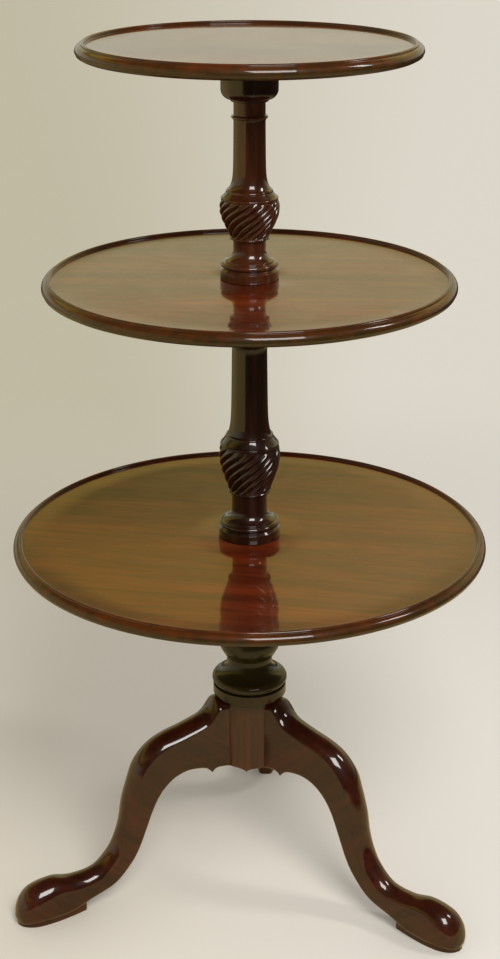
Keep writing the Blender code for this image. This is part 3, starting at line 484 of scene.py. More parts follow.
def dish_floor(start, inner, floor):
    """Rings on the flat of the dish, so that the board isn't one huge face."""
    return [(start + (inner - start) * step / 6, floor) for step in range(6)]


print("a rim stands", round(DISH * 1000, 1), "mm above the dish")

# %% [markdown]
# The two lower boards have a hole for the block's tenon and a shallow seat under
# the drum of the column.  The top one is unbroken, with a recess underneath.  Rims
# are stained darker than the dish, and where the nose rolls under they are painted
# darker still: painted shade.

# %% The boards
TRAY_CORNER = 0.0009
SEAT_DEPTH = 0.0003
RECESS_RADIUS, RECESS_DEPTH = 0.0193, 0.0058
STAIN_ON_TOP, PAINTED_SHADE_BELOW = 0.70, 0.30
# Below the rim's crest the darkening deepens toward the underside: painted shade where the nose
# rolls under.
PAINTED_SHADE_DROP, PAINTED_SHADE_FADE, STAIN_MARGIN = 0.0040, 0.0060, 0.0002


def board_outline(radius, floor, hole, seat):
    """The section of a board; without a hole it is the top one."""
    underside = floor - BOARD
    rim = rim_outline(radius, floor)
    if hole:
        centre = [(hole, underside), (hole, floor - SEAT_DEPTH), (seat, floor - SEAT_DEPTH)]
        return centre + dish_floor(seat, radius - RIM, floor) + rim
    ceiling = underside + RECESS_DEPTH
    recess = [(RECESS_RADIUS, underside), (RECESS_RADIUS, ceiling), (0.0, ceiling)]
    return dish_floor(0.0, radius - RIM, floor) + rim + recess


def make_tray(tier, radius, floor, hole, seat, turn, offset):
    """One tray, with the share of dark stain and painted shade stored at each point."""
    name = tier + "_tray"
    wood = mahogany(name + "_mahogany", TRAY_DARK, TRAY_LIGHT, (0, 0, turn), offset)
    outline = board_outline(radius, floor, hole, seat)
    mesh = turned(name, outline, closed=bool(hole), radius=TRAY_CORNER)
    mark_hollows_and_edges(mesh)
    painted_shade_start = floor + DISH - PAINTED_SHADE_DROP

    # The rim's stain, with painted shade added below the crest.
    def rim_stain_and_shade(point):
        if math.hypot(point.x, point.y) < radius - RIM - STAIN_MARGIN:
            return 0.0
        below = min(1.0, max(0.0, (painted_shade_start - point.z) / PAINTED_SHADE_FADE))
        return STAIN_ON_TOP + PAINTED_SHADE_BELOW * below

    mark_stain_and_shade(mesh, rim_stain_and_shade)
    set_piece(name + "_board", mesh, tier + "_tier", wood, "tray_wood", name)


make_tray("lower", 0.3047, LOWER_FLOOR, 0.0233, 0.0402, 4, (0.3, 0.1, 0.2))
make_tray("middle", 0.2548, MIDDLE_FLOOR, 0.0203, 0.0369, -3, (2.1, 0.7, 0.4))
make_tray("top", 0.2047, TOP_FLOOR, None, None, 2, (4.4, 1.9, 0.9))

# %% [markdown]
# ## The bearing blocks
#
# Under each tray sits a turned block of darker wood.  It holds the tray by a
# short tenon and turns on the column's spigot.  Only the top one can be seen
# well: a straight drum that rounds under to a small fillet above the column.

# %% Blocks
BLOCK_HEIGHT, GLUE_GAP = 0.0532, 0.0003
ROUND_HEIGHT, FILLET_HEIGHT = 0.0139, 0.0024
ROUND_END, FILLET_EDGE = 0.0048, 0.0036
TENON_WALL, TENON_SHORT = 0.0070, 0.0012
TOP_TENON, TOP_BORE = 0.0055, 0.0437


def block_outline(radius, neck, top, foot):
    """The outside of a block, from the tray down to its foot."""
    start = (radius, foot + ROUND_HEIGHT)
    end = (neck + ROUND_END, foot + FILLET_HEIGHT)
    points = [(radius, top), start] + arc(start, end, -0.38, 12)
    return points + [(neck + FILLET_EDGE, foot + FILLET_HEIGHT), (neck + FILLET_EDGE, foot)]


for tier, radius, neck, floor, bore, offset in (
    ("lower", 0.0430, 0.0262, LOWER_FLOOR, 0.0160, (0.2, 0.5, 0.1)),
    ("middle", 0.0375, 0.0219, MIDDLE_FLOOR, 0.0130, (0.6, 0.2, 0.4)),
    ("top", 0.0344, 0.0191, TOP_FLOOR, 0.0120, (0.9, 0.8, 0.3)),
):
    underside = floor - BOARD
    top, foot = underside - GLUE_GAP, underside - BLOCK_HEIGHT + GLUE_GAP
    tenon = bore + TENON_WALL
    outside = [(tenon, top)] + block_outline(radius, neck, top, foot) + [(bore, foot)]
    if tier == "top":
        tip, ceiling = underside + TOP_TENON, foot + TOP_BORE
        outline = [(0.0, tip), (tenon, tip)] + outside + [(bore, ceiling), (0.0, ceiling)]
    else:
        tip = floor - TENON_SHORT
        outline = [(bore, tip), (tenon, tip)] + outside
    mesh = turned(tier + "_block", outline, closed=tier != "top")
    mark_hollows_and_edges(mesh)
    wood = mahogany(tier + "_block_mahogany", BLOCK_DARK, BLOCK_LIGHT, UPRIGHT, offset)
    set_piece(tier + "_block_turning", mesh, tier + "_tier", wood, "block_wood", tier + "_block")

# %% [markdown]
# ## The columns
#
# Both columns have the same order of mouldings, from the tray upward: a drum, a
# torus over a quirk, a scotia that sweeps into the neck, a thin ring, the carved
# bulb, two beads, the flaring shaft and an astragal near the top.  First the
# plain outlines below and above the bulb.

# %% Column outlines
DRUM_SIDE, DRUM_TOP, DRUM_EASE = 0.0115, 0.0123, 0.0008
TORUS_LOW, TORUS_HIGH, SCOTIA_LOW, NECK_LOW = 0.0152, 0.0216, 0.0236, 0.0385
RING_EDGE, RING_SIDE, RING_HEIGHT = 0.0012, 0.0024, 0.0036
ASTRAGAL_LOW, ASTRAGAL_HIGH, ASTRAGAL_EDGE = 0.0200, 0.0160, 0.0010
BEAD_FOOT, BEAD_HEAD, BEAD_HEIGHT = 0.77, 0.70, 0.0035


def base_outline(drum, neck, ring, ring_base, foot):
    """Drum, quirk, torus, scotia, neck and ring, from the tray up to the bulb."""
    quirk, scotia = drum * 0.90, neck + (drum - neck) * 0.62
    torus_low, torus_high = (quirk, foot + TORUS_LOW), (quirk, foot + TORUS_HIGH)
    points = [(drum, foot), (drum, foot + DRUM_SIDE)]
    points += [(drum - DRUM_EASE, foot + DRUM_TOP), torus_low]
    points += arc(torus_low, torus_high, drum * 0.09 / 0.0032, 12)
    points += [(scotia, foot + TORUS_HIGH), (scotia, foot + SCOTIA_LOW)]
    points += arc((scotia, foot + SCOTIA_LOW), (neck, foot + NECK_LOW), -0.38, 12)
    points += [(neck, foot + ring_base), (ring, foot + ring_base + RING_EDGE)]
    return points + [(ring, foot + ring_base + RING_SIDE)]


def shaft_outline(wide, narrow, shoulder, foot, top, steps=26):
    """A tapered shaft that flares into the bulb below it."""
    points = []
    for step in range(1, steps + 1):
        rise = (top - foot) * step / steps
        flare = (shoulder - wide) * math.exp(-rise / ((top - foot) * 0.09))
        points.append((wide + (narrow - wide) * step / steps + flare, foot + rise))
    return points


def astragal_outline(shaft, top):
    """The thin half-round ring near the top of a shaft."""
    low = (shaft + ASTRAGAL_EDGE, top - ASTRAGAL_LOW)
    high = (shaft + ASTRAGAL_EDGE, top - ASTRAGAL_HIGH)
    return [(shaft, low[1]), low] + arc(low, high, 0.98) + [(shaft, high[1])]


def bulb_radius(height, foot, widest, rise, shoulder):
    """Radius of the bulb before carving, at a height above its foot."""
    if height <= rise:
        return foot + (widest - foot) * math.sin(math.pi / 2 * (height / rise) ** 1.12)
    full = shoulder / math.sqrt(1 - BEAD_FOOT ** 2)
    return widest * math.sqrt(1 - ((height - rise) / full) ** 2)


def beads(bulb, height):
    """The edge over a bulb, the bead on it, and the bead's top point."""
    bead, bead_top = (bulb * BEAD_FOOT, height), (bulb * BEAD_HEAD, height + BEAD_HEIGHT)
    return [bead] + arc(bead, bead_top, 0.50), bead_top


print("the drum's mouldings are", round(NECK_LOW * 1000, 1), "mm high")

# %% [markdown]
# ## The spiral carving
#
# This is the carver's work.  Sixteen rounded lobes wind up the bulb, with a
# narrow groove between each two.  They are formed by one rule: the radius drops
# by the groove's depth where two lobes meet, and the whole pattern turns with
# height.  The carving fades out at both ends, into the ring and the collar.

# %% Carved rings
LOBES, GROOVE_DEPTH, FADE_SHARE, CARVED_ROWS = 16, 0.0032, 0.13, 64


def carved_rows(plain, low, high, twist):
    """Rings of the carved bulb; each is turned a little further than the last."""
    made = []
    for row in range(1, CARVED_ROWS):
        share = row / CARVED_ROWS
        height = low + (high - low) * share
        from_end = min(1.0, share / FADE_SHARE, (1 - share) / FADE_SHARE)
        fade = math.sin(math.pi / 2 * from_end)
        radii = []
        for index in range(ROUND):
            place = index * LOBES / ROUND % 1.0
            ridge = math.sin(math.pi * place) ** 0.82
            radii.append(plain(height) - GROOVE_DEPTH * fade * (1 - ridge))
        made.append((radii, height, twist * share))
    return made


print("each lobe is", ROUND // LOBES, "points wide")

# %% Both columns
CARVED_SHARE, COLLAR_HEIGHT = 0.55, 0.003
SPIGOT_EASE = 0.0015


def make_column(name, s, foot, top, top_end, material):
    """A column from its own sizes, its foot, its top and the outline of its end."""
    bulb_foot = foot + s["ring_base"] + RING_HEIGHT
    widest = bulb_foot + s["rise"]
    bulb_top = widest + s["shoulder"]
    carve_top = widest + s["shoulder"] * CARVED_SHARE

    def plain(height):
        ends = s["ring"] - RING_EDGE, s["bulb"]
        return bulb_radius(height - bulb_foot, *ends, s["rise"], s["shoulder"])

    spigot, tip = s["spigot"], foot - s["spigot_length"]
    below = [(0.0, tip), (spigot - SPIGOT_EASE, tip), (spigot, tip + SPIGOT_EASE)]
    below += [(spigot, foot)]
    below += base_outline(s["drum"], s["neck"], s["ring"], s["ring_base"], foot)
    below.append((plain(bulb_foot), bulb_foot))

    collar = (plain(carve_top), carve_top)
    collar_top = (plain(carve_top + COLLAR_HEIGHT), carve_top + COLLAR_HEIGHT)
    bead, bead_top = beads(s["bulb"], bulb_top)
    above = [collar] + arc(collar, collar_top, 0.80) + bead
    shaft_end = top - ASTRAGAL_LOW
    above += shaft_outline(s["shaft_foot"], s["shaft"], *bead_top, shaft_end)
    above += astragal_outline(s["shaft"], top) + top_end
    rows = [(r, z, 0.0) for r, z in soften(below)]
    rows += carved_rows(plain, bulb_foot, carve_top, s["twist"])
    rows += [(r, z, s["twist"]) for r, z in soften(above)]
    mesh = stack_rings(name, rows)
    mark_hollows_and_edges(mesh)
    set_piece(name + "_turning", mesh, "stand", material, "column_wood", name)


LOWER = dict(
    drum=0.0392, neck=0.0227, ring=0.0279, ring_base=0.0600,
    bulb=0.0391, rise=0.0470, shoulder=0.0253, twist=math.tau * 10 / 32,
    shaft_foot=0.0236, shaft=0.0219, spigot=0.0155, spigot_length=0.0981,
)
UPPER = dict(
    drum=0.0359, neck=0.0201, ring=0.0248, ring_base=0.0490,
    bulb=0.0366, rise=0.0350, shoulder=0.0198, twist=math.tau * 9 / 32,
    shaft_foot=0.0199, shaft=0.0191, spigot=0.0125, spigot_length=0.0981,
)
print("sizes for each column:", len(LOWER))

# %% [markdown]
# The lower column has a socket in its top for the upper one's spigot.  The upper
# column ends in a pin on which the top tray turns.

# %% Sockets, the pin and the two columns
SOCKET_DEPTH, DRUM_CLEARANCE = 0.034, 0.0001
SOCKET_RADIUS, PILLAR_SOCKET_RADIUS = 0.0128, 0.0158
PIN_RADIUS, PIN_SIDE, PIN_TIP_RADIUS, PIN_TIP = 0.0115, 0.0405, 0.0100, 0.0420


def socket_outline(edge, radius, top):
    """The flat top of a turning and the socket sunk into it."""
    depth = top - SOCKET_DEPTH
    return [(edge, top), (radius, top), (radius, depth), (0.0, depth)]


lower_top = MIDDLE_FLOOR - BOARD - BLOCK_HEIGHT
upper_top = TOP_FLOOR - BOARD - BLOCK_HEIGHT
socket = socket_outline(LOWER["shaft"], SOCKET_RADIUS, lower_top)
pin = [(UPPER["shaft"], upper_top), (PIN_RADIUS, upper_top)]
pin += [(PIN_RADIUS, upper_top + PIN_SIDE), (PIN_TIP_RADIUS, upper_top + PIN_TIP)]
pin.append((0.0, upper_top + PIN_TIP))
# The lower column gets the painted-shade colours, the upper one the painted-light colours.
for name, sizes, floor, top, end, tones, offset in (
    ("lower", LOWER, LOWER_FLOOR, lower_top, socket, (LOWER_COLUMN_SHADED_DARK, LOWER_COLUMN_SHADED_LIGHT), (0.1, 0.0, 0.0)),
    ("upper", UPPER, MIDDLE_FLOOR, upper_top, pin, (UPPER_COLUMN_LIT_DARK, UPPER_COLUMN_LIT_LIGHT), (1.7, 0.4, 0.3)),
):
    wood = mahogany(name + "_column_mahogany", *tones, UPRIGHT, offset)
    make_column(name + "_column", sizes, floor + DRUM_CLEARANCE, top, end, wood)

# %% [markdown]
# ## The pillar
#
# Below the lowest tray the pillar carries a plain bulb, a hollow neck, a cushion
# moulding and a band.  Under the band it stays round between the legs, and its
# lower rim is cut in small scallops that meet in a cusp.  Where a leg joins it
# the round is cut back to a flat, and the leg's dovetail slides into a housing.
# The flats and housings are cut with Booleans, as a joiner would saw them.

# %% Pillar outline
LEG_HALF, BODY = 0.0200, 0.0430
SEAT = math.sqrt(BODY ** 2 - LEG_HALF ** 2)
SCALLOP_TOP, SCALLOP_DROP = 0.1778, 0.0054
PILLAR_TOP = LOWER_FLOOR - BOARD - BLOCK_HEIGHT
BAND_LOW, BAND_HIGH, BAND_RADIUS = 0.2755, 0.2886, 0.0486
GROOVE_HIGH, GROOVE_RADIUS = 0.2917, 0.0430
LIP_HIGH, LIP_RADIUS = 0.2943, 0.0478
CUSHION, CUSHION_TOP, HOLLOW_TOP = (0.0495, 0.2943), (0.0450, 0.3032), (0.0280, 0.3208)
PLAIN_BULB = dict(foot=0.0322, widest=0.0400, rise=0.0175, shoulder=0.0220)
BULB_LOW, BULB_HIGH, SHOULDER_SHOWN = 0.3305, 0.3700, 0.0176
STEM_FOOT, STEM, STEM_TOP = 0.0262, 0.0240, 0.0262
FILLET = [(0.0280, 0.3222), (0.0303, 0.3228), (0.0303, 0.3293)]


def pillar_outline():
    """From the legs' shoulders under the band up to the socket in the top."""
    points = [(BODY, BAND_LOW), (BAND_RADIUS, BAND_LOW), (BAND_RADIUS, BAND_HIGH)]
    points += [(GROOVE_RADIUS, BAND_HIGH), (GROOVE_RADIUS, GROOVE_HIGH)]
    points += [(LIP_RADIUS, GROOVE_HIGH), (LIP_RADIUS, LIP_HIGH), CUSHION]
    points += arc(CUSHION, CUSHION_TOP, 0.42, 12)
    points += arc(CUSHION_TOP, HOLLOW_TOP, -0.26, 14) + FILLET
    for step in range(19):
        height = (PLAIN_BULB["rise"] + SHOULDER_SHOWN) * step / 18
        points.append((bulb_radius(height, **PLAIN_BULB), BULB_LOW + height))
    bead, bead_top = beads(PLAIN_BULB["widest"], BULB_HIGH)
    points += bead
    points += shaft_outline(STEM_FOOT, STEM, *bead_top, PILLAR_TOP - ASTRAGAL_LOW, 12)
    points += astragal_outline(STEM, PILLAR_TOP)
    return points + socket_outline(STEM_TOP, PILLAR_SOCKET_RADIUS, PILLAR_TOP)


def rim_height(angle):
    """Height of the scalloped rim, with a cusp midway between two legs."""
    face = math.tau / 3
    from_cusp = abs((angle - math.pi / 2) % face - face / 2)
    to_crown = 1 - min(1.0, from_cusp / math.radians(25))
    return SCALLOP_TOP - SCALLOP_DROP * (1 - math.sqrt(1 - to_crown ** 2))


print("pillar top is at", round(PILLAR_TOP, 4))

# %% Prisms and Booleans
DOVETAIL_NECK, DOVETAIL_TAIL = 0.0065, 0.0095
DOVETAIL_LENGTH, DOVETAIL_OUT = 0.014, 0.004


def prism(name, plan, low, high):
    """A solid on a plan of (x, y) points between two heights."""
    build = bmesh.new()
    rings = [[build.verts.new((x, y, z)) for x, y in plan] for z in (low, high)]
    for index in range(len(plan)):
        after = (index + 1) % len(plan)
        build.faces.new((rings[0][index], rings[0][after], rings[1][after], rings[1][index]))
    build.faces.new(rings[0])
    build.faces.new(rings[1])
    return clean_mesh(name, build)


def evaluated_mesh(item):
    """The mesh of an object with its modifiers applied."""
    bpy.context.view_layer.update()
    finished = item.evaluated_get(bpy.context.evaluated_depsgraph_get())
    return bpy.data.meshes.new_from_object(finished)


def combine(name, base_mesh, steps):
    """Cut and join meshes with Booleans and give the flats an even shine."""
    base = bpy.data.objects.new(name, base_mesh)
    bpy.context.scene.collection.objects.link(base)
    helpers = []
    for operation, mesh, angle in steps:
        helper = bpy.data.objects.new(name + "_tool", mesh)
        bpy.context.scene.collection.objects.link(helper)
        helper.rotation_euler = (0.0, 0.0, angle)
        cut = base.modifiers.new("cut", "BOOLEAN")
        cut.operation = operation
        cut.solver = "EXACT"
        cut.object = helper
        helpers.append(helper)
    base.data = evaluated_mesh(base)
    base.modifiers.clear()
    base.data.shade_smooth()
    base.data.set_sharp_from_angle(angle=SHARP_CUT)
    base.modifiers.new("even_shine", "WEIGHTED_NORMAL").keep_sharp = True
    result = evaluated_mesh(base)
    for item in helpers + [base]:
        bpy.data.objects.remove(item, do_unlink=True)
    result.name = name
    return result


def mirrored_plan(side):
    """One side of a plan, followed by its mirror image on the way back."""
    return side + [(x, -y) for x, y in reversed(side)]


def dovetail(gap):
    """Plan of a dovetail that widens toward the axis of the pillar."""
    neck, tail = DOVETAIL_NECK + gap, DOVETAIL_TAIL + gap
    inner = SEAT - DOVETAIL_LENGTH - gap
    return mirrored_plan([(SEAT + DOVETAIL_OUT, neck), (SEAT, neck), (inner, tail)])


print("a dovetail's plan has", len(dovetail(0.0)), "points")

# %% The pillar's turning and the cuts for the legs
PILLAR_ROUND, RIM_EASE, HOLLOW_RISE, BODY_TOP = 180, 0.0006, 0.006, 0.2749
CUT_LOW, HOUSING_TOP, CUT_REACH = 0.1684, 0.2598, 0.047
LEG_ANGLES = [math.pi / 2 + math.tau * index / 3 for index in range(3)]

rim = [rim_height(math.tau * index / PILLAR_ROUND) for index in range(PILLAR_ROUND)]
rows = [(0.0, SCALLOP_TOP + HOLLOW_RISE, 0.0), (BODY - RIM_EASE, rim, 0.0)]
for step in range(9):
    rows.append((BODY, [z + RIM_EASE + (BODY_TOP - z) * step / 9 for z in rim], 0.0))
rows += [(r, z, 0.0) for r, z in soften(pillar_outline())]
turning = stack_rings("pillar_turning", rows, segments=PILLAR_ROUND)
half = LEG_HALF + GLUE_GAP
plan = [(SEAT, -half), (CUT_REACH, -half), (CUT_REACH, half), (SEAT, half)]
flat = prism("flat", plan, CUT_LOW, BAND_LOW)
housing = prism("housing", dovetail(GLUE_GAP), CUT_LOW, HOUSING_TOP)
cuts = [("DIFFERENCE", tool, angle) for angle in LEG_ANGLES for tool in (flat, housing)]
pillar = combine("base_pillar_shape", turning, cuts)
print("pillar has", len(pillar.polygons), "faces")

# %% [markdown]
# The mouldings from the band upward are stained like the rims of the trays and
# painted darker still, as painted shade under the lowest tray.  The groove over
# the band is painted dark all round: painted shade.

# %% Stain, painted shade and the finished pillar
mark_hollows_and_edges(pillar)
# Painted shade under the lowest tray: the mouldings from the band up take the dark stain colour.
mark_stain_and_shade(pillar, lambda point: 1.0 if point.z > BAND_LOW - 0.0010 else 0.0)
# Painted shade: the groove over the band counts as a full hollow, so it takes the darkest colour.
for index, vert in enumerate(pillar.vertices):
    in_groove = BAND_HIGH - 0.0002 < vert.co.z < GROOVE_HIGH + 0.0003
    if in_groove and math.hypot(vert.co.x, vert.co.y) < LIP_RADIUS - 0.0002:
        pillar.attributes["hollow"].data[index].value = 1.0
wood = mahogany("pillar_mahogany", PILLAR_DARK, PILLAR_LIGHT, UPRIGHT, (0.8, 0.3, 0.7))
set_piece(
    "base_pillar_turning", pillar, "stand", wood, "pillar_wood", "base_pillar", smooth=False
)

# %% [markdown]
# ## The cabriole legs
#
# A cabriole leg swells to a knee, thins to an ankle and ends in a pointed pad
# foot.  It is sawn from a thick plank and then shaped with spokeshave and rasp,
# so its sides stay flat while the top is crowned.  We give the ridge, the belly
# and the width at some stations and let a smooth curve run through them.  All
# three legs have the same shape, turned to its place round the pillar.
#
# A station is (ridge out, ridge up, belly out, belly up, width), as shares of the
# leg's reach, height and width.

# %% Stations along the leg
REACH, HEIGHT = 0.3400, 0.2765
ROOT = (
    (0.144, 1.000, 0.112, 0.640, 1.00),
    (0.154, 0.995, 0.135, 0.644, 1.00),
    (0.163, 0.982, 0.162, 0.644, 1.00),
    (0.174, 0.962, 0.178, 0.635, 1.00),
    (0.181, 0.949, 0.185, 0.623, 1.00),
)
MAIN = (
    ROOT[-1],
    (0.212, 0.919, 0.212, 0.652, 1.00),
    (0.291, 0.886, 0.259, 0.662, 1.00),
    (0.376, 0.855, 0.303, 0.657, 1.00),
    (0.441, 0.811, 0.347, 0.633, 1.00),
    (0.494, 0.736, 0.388, 0.588, 1.00),
    (0.525, 0.638, 0.418, 0.535, 1.00),
    (0.549, 0.539, 0.440, 0.474, 0.98),
    (0.565, 0.430, 0.463, 0.397, 0.95),
    (0.588, 0.343, 0.493, 0.300, 0.93),
    (0.621, 0.273, 0.528, 0.220, 0.90),
    (0.682, 0.207, 0.597, 0.126, 0.88),
    (0.768, 0.193, 0.700, 0.070, 0.92),
    (0.841, 0.208, 0.779, 0.029, 1.05),
    (0.900, 0.198, 0.853, 0.021, 1.18),
    (0.944, 0.177, 0.915, 0.021, 1.18),
    (0.974, 0.139, 0.960, 0.019, 1.02),
    (0.992, 0.092, 0.984, 0.019, 0.68),
    (1.000, 0.047, 0.994, 0.023, 0.26),
)


def between(a, b, c, d, t):
    """A value at a share t of the way from b to c, on a curve through all four."""
    square, cube = a - 2.5 * b + 2 * c - d / 2, 1.5 * (b - c) + (d - a) / 2
    return b + (c - a) * t / 2 + square * t ** 2 + cube * t ** 3


def smooth_run(rows, steps):
    """A smooth curve through rows of numbers, with equal steps between rows."""
    curve = [rows[0]]
    padded = (rows[0], *rows, rows[-1])
    for four in zip(padded, padded[1:], padded[2:], padded[3:]):
        for step in range(1, steps + 1):
            curve.append(tuple(between(*values, step / steps) for values in zip(*four)))
    return curve


print("stations along the leg:", len(ROOT) + len(MAIN) - 1)

# %% Sections of the leg
ARRIS = 0.0014


def leg_section(row, progress):
    """One cross-section: a crowned top, straight sides and a flatter belly."""
    ridge = Vector((REACH * row[0], 0.0, HEIGHT * row[1]))
    belly = Vector((REACH * row[2], 0.0, HEIGHT * row[3]))
    up, side = ridge - belly, Vector((0.0, 1.0, 0.0))
    depth = up.length
    up.normalize()
    half = LEG_HALF * row[4]
    widest = math.radians(60 + 30 * min(1.0, max(0.0, progress - 0.35) * 2.5))
    bend = half / math.sin(widest)
    crown = bend * (1 - math.cos(widest))
    flatten = min(1.0, depth * 0.60 / crown)
    shoulder = depth - crown * flatten
    corner = min(half, depth * 0.33) * (0.12 + 0.48 * progress)
    arris = min(ARRIS, 0.25 * shoulder)
    top = []
    for step in range(27):
        angle = widest * (1 - step / 13)
        rise = (bend * math.cos(angle) - bend + crown) * flatten
        top.append((bend * math.sin(angle), shoulder + rise))
    end, inner = Vector(top[0]), Vector(top[1])
    first = Vector((half, shoulder - arris))
    last = end + (inner - end).normalized() * arris * 0.8
    eased = [curved(first, end, last, step / 4) for step in range(5)]
    top = eased + top[2:-2] + [(-x, z) for x, z in reversed(eased)]
    points = [belly + up * z + side * x for x, z in top]
    for sign in (-1, 1):
        for step in range(5):
            turn = math.pi / 2 * (step / 4 if sign < 0 else 1 - step / 4)
            drop = corner * (1 - math.sin(turn))
            inset = corner * (1 - math.cos(turn))
            points.append(belly + up * drop + side * sign * (half - inset))
    return points


print("the arrises are eased by", ARRIS * 1000, "mm")

# %% The sole
SOLE_HEEL, SOLE_LENGTH, SOLE_WIDTH, HEEL_WIDTH = 0.2420, 0.0950, 0.040, 0.017
SOLE_WIDEST, SOLE_HEIGHT = 0.70, 0.0110


def sole_plan():
    """Plan of the thin pad under the foot, round at the toe."""
    side = [(SOLE_HEEL, 0.0045), (0.2432, 0.0072)]
    for index in range(1, 31):
        share = index / 30
        if share <= SOLE_WIDEST:
            swell = math.sin(math.pi / 2 * share / SOLE_WIDEST)
            width = HEEL_WIDTH + (SOLE_WIDTH - HEEL_WIDTH) * swell
        else:
            toe = (share - SOLE_WIDEST) / 0.30
            width = SOLE_WIDTH * math.sqrt(1 - 0.97 * toe ** 2)
        side.append((SOLE_HEEL + SOLE_LENGTH * share, width / 2))
    return mirrored_plan(side)


print("the sole has", len(sole_plan()), "points")

# %% One leg
build = bmesh.new()
leg_rows = smooth_run(ROOT, 3) + smooth_run(MAIN, 7)[1:]
rings = []
for index, row in enumerate(leg_rows):
    corners = leg_section(row, index / (len(leg_rows) - 1))
    if index == 0:
        corners = [Vector((SEAT + GLUE_GAP, c.y, c.z)) for c in corners]
    rings.append([build.verts.new(c) for c in corners])
for low, high in zip(rings, rings[1:]):
    for index in range(len(low)):
        after = (index + 1) % len(low)
        build.faces.new((low[index], low[after], high[after], high[index]))
build.faces.new(rings[0])
build.faces.new(rings[-1])
leg_body = clean_mesh("leg_body", build)
high, low, out = BAND_LOW + 0.0050, BAND_LOW - GLUE_GAP, BAND_RADIUS + GLUE_GAP
band = turned("band_cut", [(0.0, high), (out, high), (out, low), (0.0, low)], radius=0.0)
tongue = prism("tongue", dovetail(0.0), SCALLOP_TOP, HOUSING_TOP - GLUE_GAP)
sole = prism("sole", sole_plan(), 0.0, SOLE_HEIGHT)
joins = [("DIFFERENCE", band, 0.0), ("UNION", tongue, 0.0), ("UNION", sole, 0.0)]
leg = combine("leg_shape", leg_body, joins)
mark_hollows_and_edges(leg)
print("leg mesh has", len(leg.polygons), "faces")

# %% The three legs
for index, name in enumerate(("rear_leg", "left_leg", "right_leg")):
    offset = (0.4 + index, 0.3 * index, 0.2)
    wood = mahogany(name + "_mahogany", LEG_DARK, LEG_LIGHT, SLANTING, offset)
    turn = LEG_ANGLES[index]
    set_piece(
        name + "_carving", leg.copy(), "stand", wood, "leg_wood", name, angle=turn, smooth=False
    )

# %% [markdown]
# ## The floor and the pale surroundings
#
# The photograph was taken on a seamless pale sweep.  A wide floor takes the
# shadows near the stand, and further out it fades into the even tone of the
# backdrop, sooner in front of the stand than behind it.  Behind and to the left
# the backdrop is painted a little darker, a painted shadow, and the paper near
# the stand is painted darker on the left and lighter on the right: painted shade
# and painted light.
#
# Polished wood is half mirror, so what surrounds the stand matters as much as the
# lamps.  Mirrored rays see a room of their own: pale behind and to the left,
# darker toward the camera, with tones that change with height.  The far floor they
# see behind the stand is painted darker: a painted shadow.

# %% The room's colours and a mask for a direction
BACKDROP, BACKDROP_LEFT_IN_SHADE = (0.720, 0.675, 0.592), (0.530, 0.490, 0.368)
LIGHT_SIDE, LEFT_OF_CAMERA = (-0.62, 0.78, 0.0), (-0.995, -0.098, 0.0)
RIGHT, LEFT, BACK, UP = (1, 0, 0), (-1, 0, 0), (0, 1, 0), (0, 0, 1)
DARK_ROOM = (0.040, 0.022, 0.015)
WARM_FLOOR, BACK_FLOOR_IN_SHADE = (0.820, 0.610, 0.230), (0.300, 0.240, 0.110)
# The paper's colours: darker on the left as painted shade, lighter on the right as painted light.
PAPER_LEFT_SHADED, PAPER_RIGHT_LIT = (0.690, 0.645, 0.560), (0.700, 0.675, 0.640)
PAPER_IN_POLISH = (0.600, 0.460, 0.220)


def toward(tree, direction, axis, low, high):
    """A mask that is 1 where a direction points along an axis."""
    node = new_node(tree, "ShaderNodeVectorMath", operation="DOT_PRODUCT")
    node.inputs[1].default_value = axis
    tree.links.new(direction, node.inputs[0])
    return ramp(tree, node.outputs["Value"], low, high)


def mix_shaders(tree, factor, first, second):
    """Go over from one shader to another by a mask."""
    node = new_node(tree, "ShaderNodeMixShader")
    feed(tree, node.inputs, (factor, first, second))
    return node.outputs[0]


print("the light side of the room lies toward", LIGHT_SIDE)

# %% Floor
bpy.ops.mesh.primitive_grid_add(x_subdivisions=60, y_subdivisions=60, size=60.0)
floor = bpy.context.active_object
floor.name = "floor"
floor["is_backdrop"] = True
paper = bpy.data.materials.new("pale_sweep")
paper.use_nodes = True
tree = paper.node_tree
matt = tree.nodes["Principled BSDF"]
matt.inputs["Roughness"].default_value = 0.75
matt.inputs["Specular IOR Level"].default_value = 0.2

# %% The paper's colour, painted darker on the left, and the even tone far out
place = new_node(tree, "ShaderNodeNewGeometry").outputs["Position"]
rays = new_node(tree, "ShaderNodeLightPath").outputs
distance = new_node(tree, "ShaderNodeVectorMath", operation="LENGTH")
heading = new_node(tree, "ShaderNodeVectorMath", operation="NORMALIZE")
for node in (distance, heading):
    tree.links.new(place, node.inputs[0])
distance, heading = distance.outputs["Value"], heading.outputs[0]
lit = toward(tree, heading, LEFT_OF_CAMERA, 0.36, 0.56)
behind = toward(tree, heading, BACK, 0.1, 0.8)
# Painted shadow: the backdrop behind and to the left is darker.
left_wall_shadow = math_node(tree, "MULTIPLY", toward(tree, heading, LEFT, -0.07, 0.27), behind)
shown = blend_colour(tree, left_wall_shadow, BACKDROP, BACKDROP_LEFT_IN_SHADE)
# The far floor seen in the polish behind the stand carries a painted shadow.
room = blend_colour(tree, lit, DARK_ROOM, blend_colour(tree, behind, WARM_FLOOR, BACK_FLOOR_IN_SHADE))
tone = blend_colour(tree, rays["Is Camera Ray"], room, shown)
even = new_node(tree, "ShaderNodeEmission", Strength=1.0, Color=tone)
